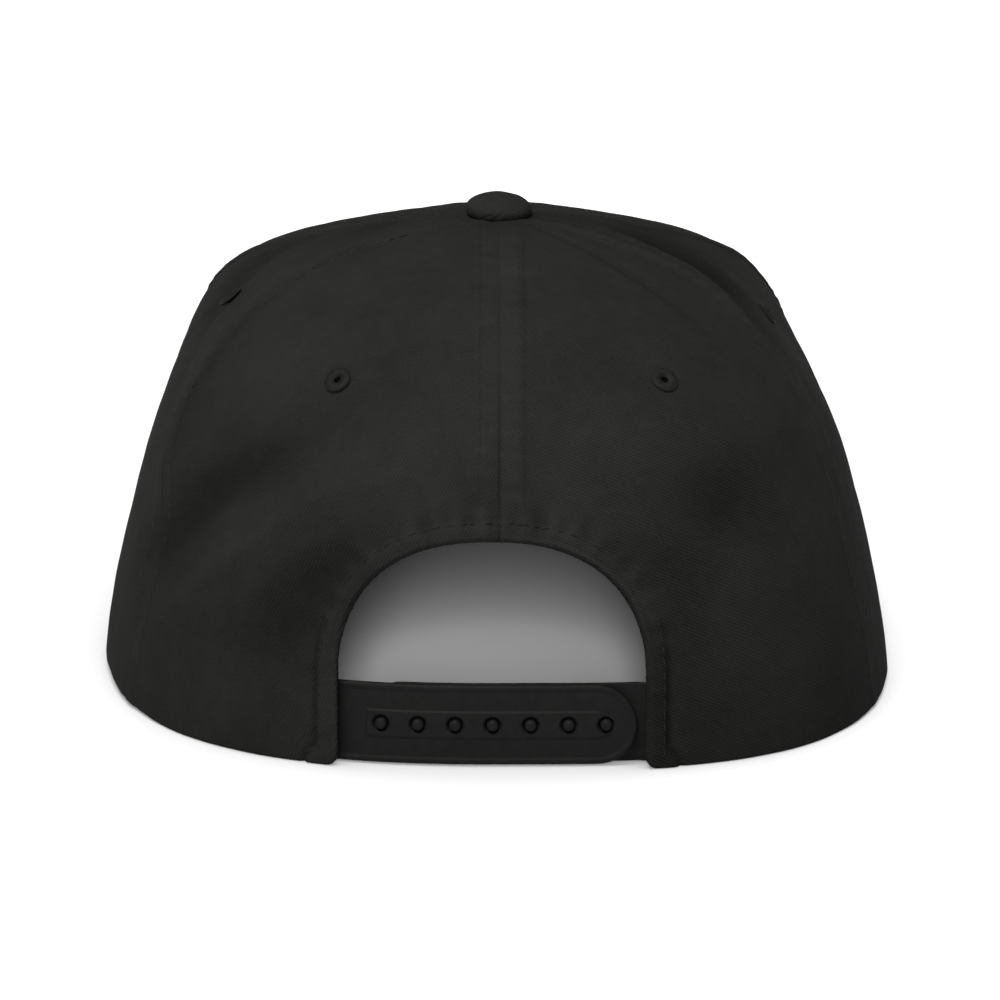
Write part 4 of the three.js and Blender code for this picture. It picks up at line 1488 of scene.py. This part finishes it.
def visorPaths(rim):
    # rows set in from the rim, kept where they lie on the visor and not under the crown
    step = np.gradient(rim, axis=0)
    inward = unit(np.stack([-step[:, 1], step[:, 0]], axis=-1))
    hemTurn = np.linspace(90, 270, 400)
    hemLine = insetPoint(hemTurn, np.full(400, 0.01), np.full(400, -1.6))
    hemAngle = np.arctan2(hemLine[:, 0], -hemLine[:, 1]) % (2 * np.pi)
    hemReach = np.hypot(hemLine[:, 0], hemLine[:, 1])
    rowHeight = visorLook["thickness"] / 2 - visorLook["rowDip"] + 0.04
    paths = []
    for at in visorRows:
        line = rim + inward * at
        angle = np.arctan2(line[:, 0], -line[:, 1]) % (2 * np.pi)
        outside = np.hypot(line[:, 0], line[:, 1]) > np.interp(angle, hemAngle, hemReach)
        line = line[outside & (line[:, 1] > rim[0, 1])]
        for face in (1, -1):
            height = visorMiddle(line[:, 0]) + face * rowHeight
            if face < 0:
                height = np.maximum(height, 0.2)
            points = np.column_stack([line, height])
            paths.append((points, np.tile([0.0, 0.0, float(face)], (len(points), 1)), False))
    return paths


visor, visorRim = makeVisor()
dress(visor, ["visor"], twillFinish("twill_visor", "visor_twill", 27))
visorThread = {"pitch": 3.0, "length": 2.4, "thickness": 0.32, "arch": 0.12, "sink": 0.12}
visorStitches = stitchAlong("visor_stitching", visorPaths(visorRim), blackThread, **visorThread)
dress(visorStitches)
print("visor stitched")

# The photograph's view: the aim and distance are in millimetres about the crown's axis.
viewLook = {
    "aim": (1.47, 0.0, 31.7),
    "distance": 900,
    "elevation": 16.2,
    "yaw": 0.57,
    "frameWidth": 1000,
    "focalPixels": 3916,
}


def makeCamera():
    data = bpy.data.cameras.new("camera")
    camera = linkObject("camera", data)
    yaw, fall = math.radians(viewLook["yaw"]), math.radians(viewLook["elevation"])
    forward = Vector((math.sin(yaw) * math.cos(fall), math.cos(yaw) * math.cos(fall), -math.sin(fall)))
    right = Vector((math.cos(yaw), -math.sin(yaw), 0))
    above = right.cross(forward)
    aim = Vector(toFrame(np.array(viewLook["aim"])))
    turned = Matrix((right, above, -forward)).transposed()
    camera.matrix_world = Matrix.Translation(aim - forward * viewLook["distance"] * mm) @ turned.to_4x4()
    data.sensor_width = 36
    data.lens = data.sensor_width * viewLook["focalPixels"] / viewLook["frameWidth"]
    data.clip_start, data.clip_end = 0.05, 20
    bpy.context.scene.camera = camera


# Each light's turn from the camera's side, height angle, distance, width, height and power.
# The last value says what it lights.
lights = {
    "keyTopLeft": (-24, 62, 1.8, 0.8, 0.6, 40, "pieces"),
    "frontSoft": (6, 26, 1.8, 0.7, 0.5, 3, "all"),
    "floorWash": (180, 86, 2.2, 2.0, 2.0, 46, "floor"),
    "archFill": (-1.6, 20.1, 1.9, 0.30, 0.52, 27, "floor"),
}


def makeLights(floor):
    lit = {"floor": bpy.data.collections.new("litFloor"), "pieces": bpy.data.collections.new("litPieces")}
    for piece in bpy.context.scene.collection.objects:
        if piece.type == "MESH":
            lit["floor" if piece == floor else "pieces"].objects.link(piece)
    for name, (turn, rise, distance, width, height, power, receivers) in lights.items():
        data = bpy.data.lights.new(name, "AREA")
        data.shape = "RECTANGLE"
        data.size, data.size_y = width, height
        data.energy = power
        data.color = (1, 0.99, 0.93) if receivers == "pieces" else (1, 1, 1)
        light = linkObject(name, data)
        turn, rise = math.radians(turn), math.radians(rise)
        away = Vector((math.sin(turn) * math.cos(rise), -math.cos(turn) * math.cos(rise), math.sin(rise)))
        light.location = away * distance
        light.rotation_euler = away.to_track_quat("Z", "Y").to_euler()
        if receivers in lit:
            light.light_linking.receiver_collection = lit[receivers]


# The floor's half width in millimetres, and how its glow grows with the distance in metres
stageLook = {
    "skyLight": 0.2,
    "reach": 2500,
    "white": 0.93,
    "glowFrom": 0.24,
    "glowTo": 0.6,
    "glow": 0.7,
}


def makeStage():
    world = bpy.data.worlds.new("studio")
    world.use_nodes = True
    nodes, links = world.node_tree.nodes, world.node_tree.links
    lit = nodes["Background"]
    lit.inputs["Color"].default_value = (1, 1, 1, 1)
    lit.inputs["Strength"].default_value = stageLook["skyLight"]
    seen = nodes.new("ShaderNodeBackground")
    seen.inputs["Color"].default_value = (1, 1, 1, 1)
    rays = nodes.new("ShaderNodeLightPath")
    mix = nodes.new("ShaderNodeMixShader")
    links.new(rays.outputs["Is Camera Ray"], mix.inputs[0])
    links.new(lit.outputs[0], mix.inputs[1])
    links.new(seen.outputs[0], mix.inputs[2])
    links.new(mix.outputs[0], nodes["World Output"].inputs["Surface"])
    bpy.context.scene.world = world
    reach = stageLook["reach"]
    points = np.array([(-reach, -reach, 0), (reach, -reach, 0), (reach, reach, 0), (-reach, reach, 0)])
    mesh = bpy.data.meshes.new("floor")
    mesh.from_pydata((points * mm).tolist(), [], [(0, 1, 2, 3)])
    floor = linkObject("floor", mesh)
    finish = Finish("floor_white")
    away = finish.node("ShaderNodeVectorMath", {"operation": "LENGTH"}, {0: finish.place}, output=1)
    glow = finish.shades(away.between(stageLook["glowFrom"], stageLook["glowTo"]), 0, stageLook["glow"])
    surface = {"Base Color": (*[stageLook["white"]] * 3, 1), "Roughness": 0.9}
    surface.update({"Emission Color": glow, "Emission Strength": 1.0})
    mesh.materials.append(finish.close(surface))
    return floor


makeLights(makeStage())
makeCamera()
scene = bpy.context.scene
scene.view_settings.view_transform = "Standard"
scene.view_settings.look = "None"
print("camera, light and floor set")
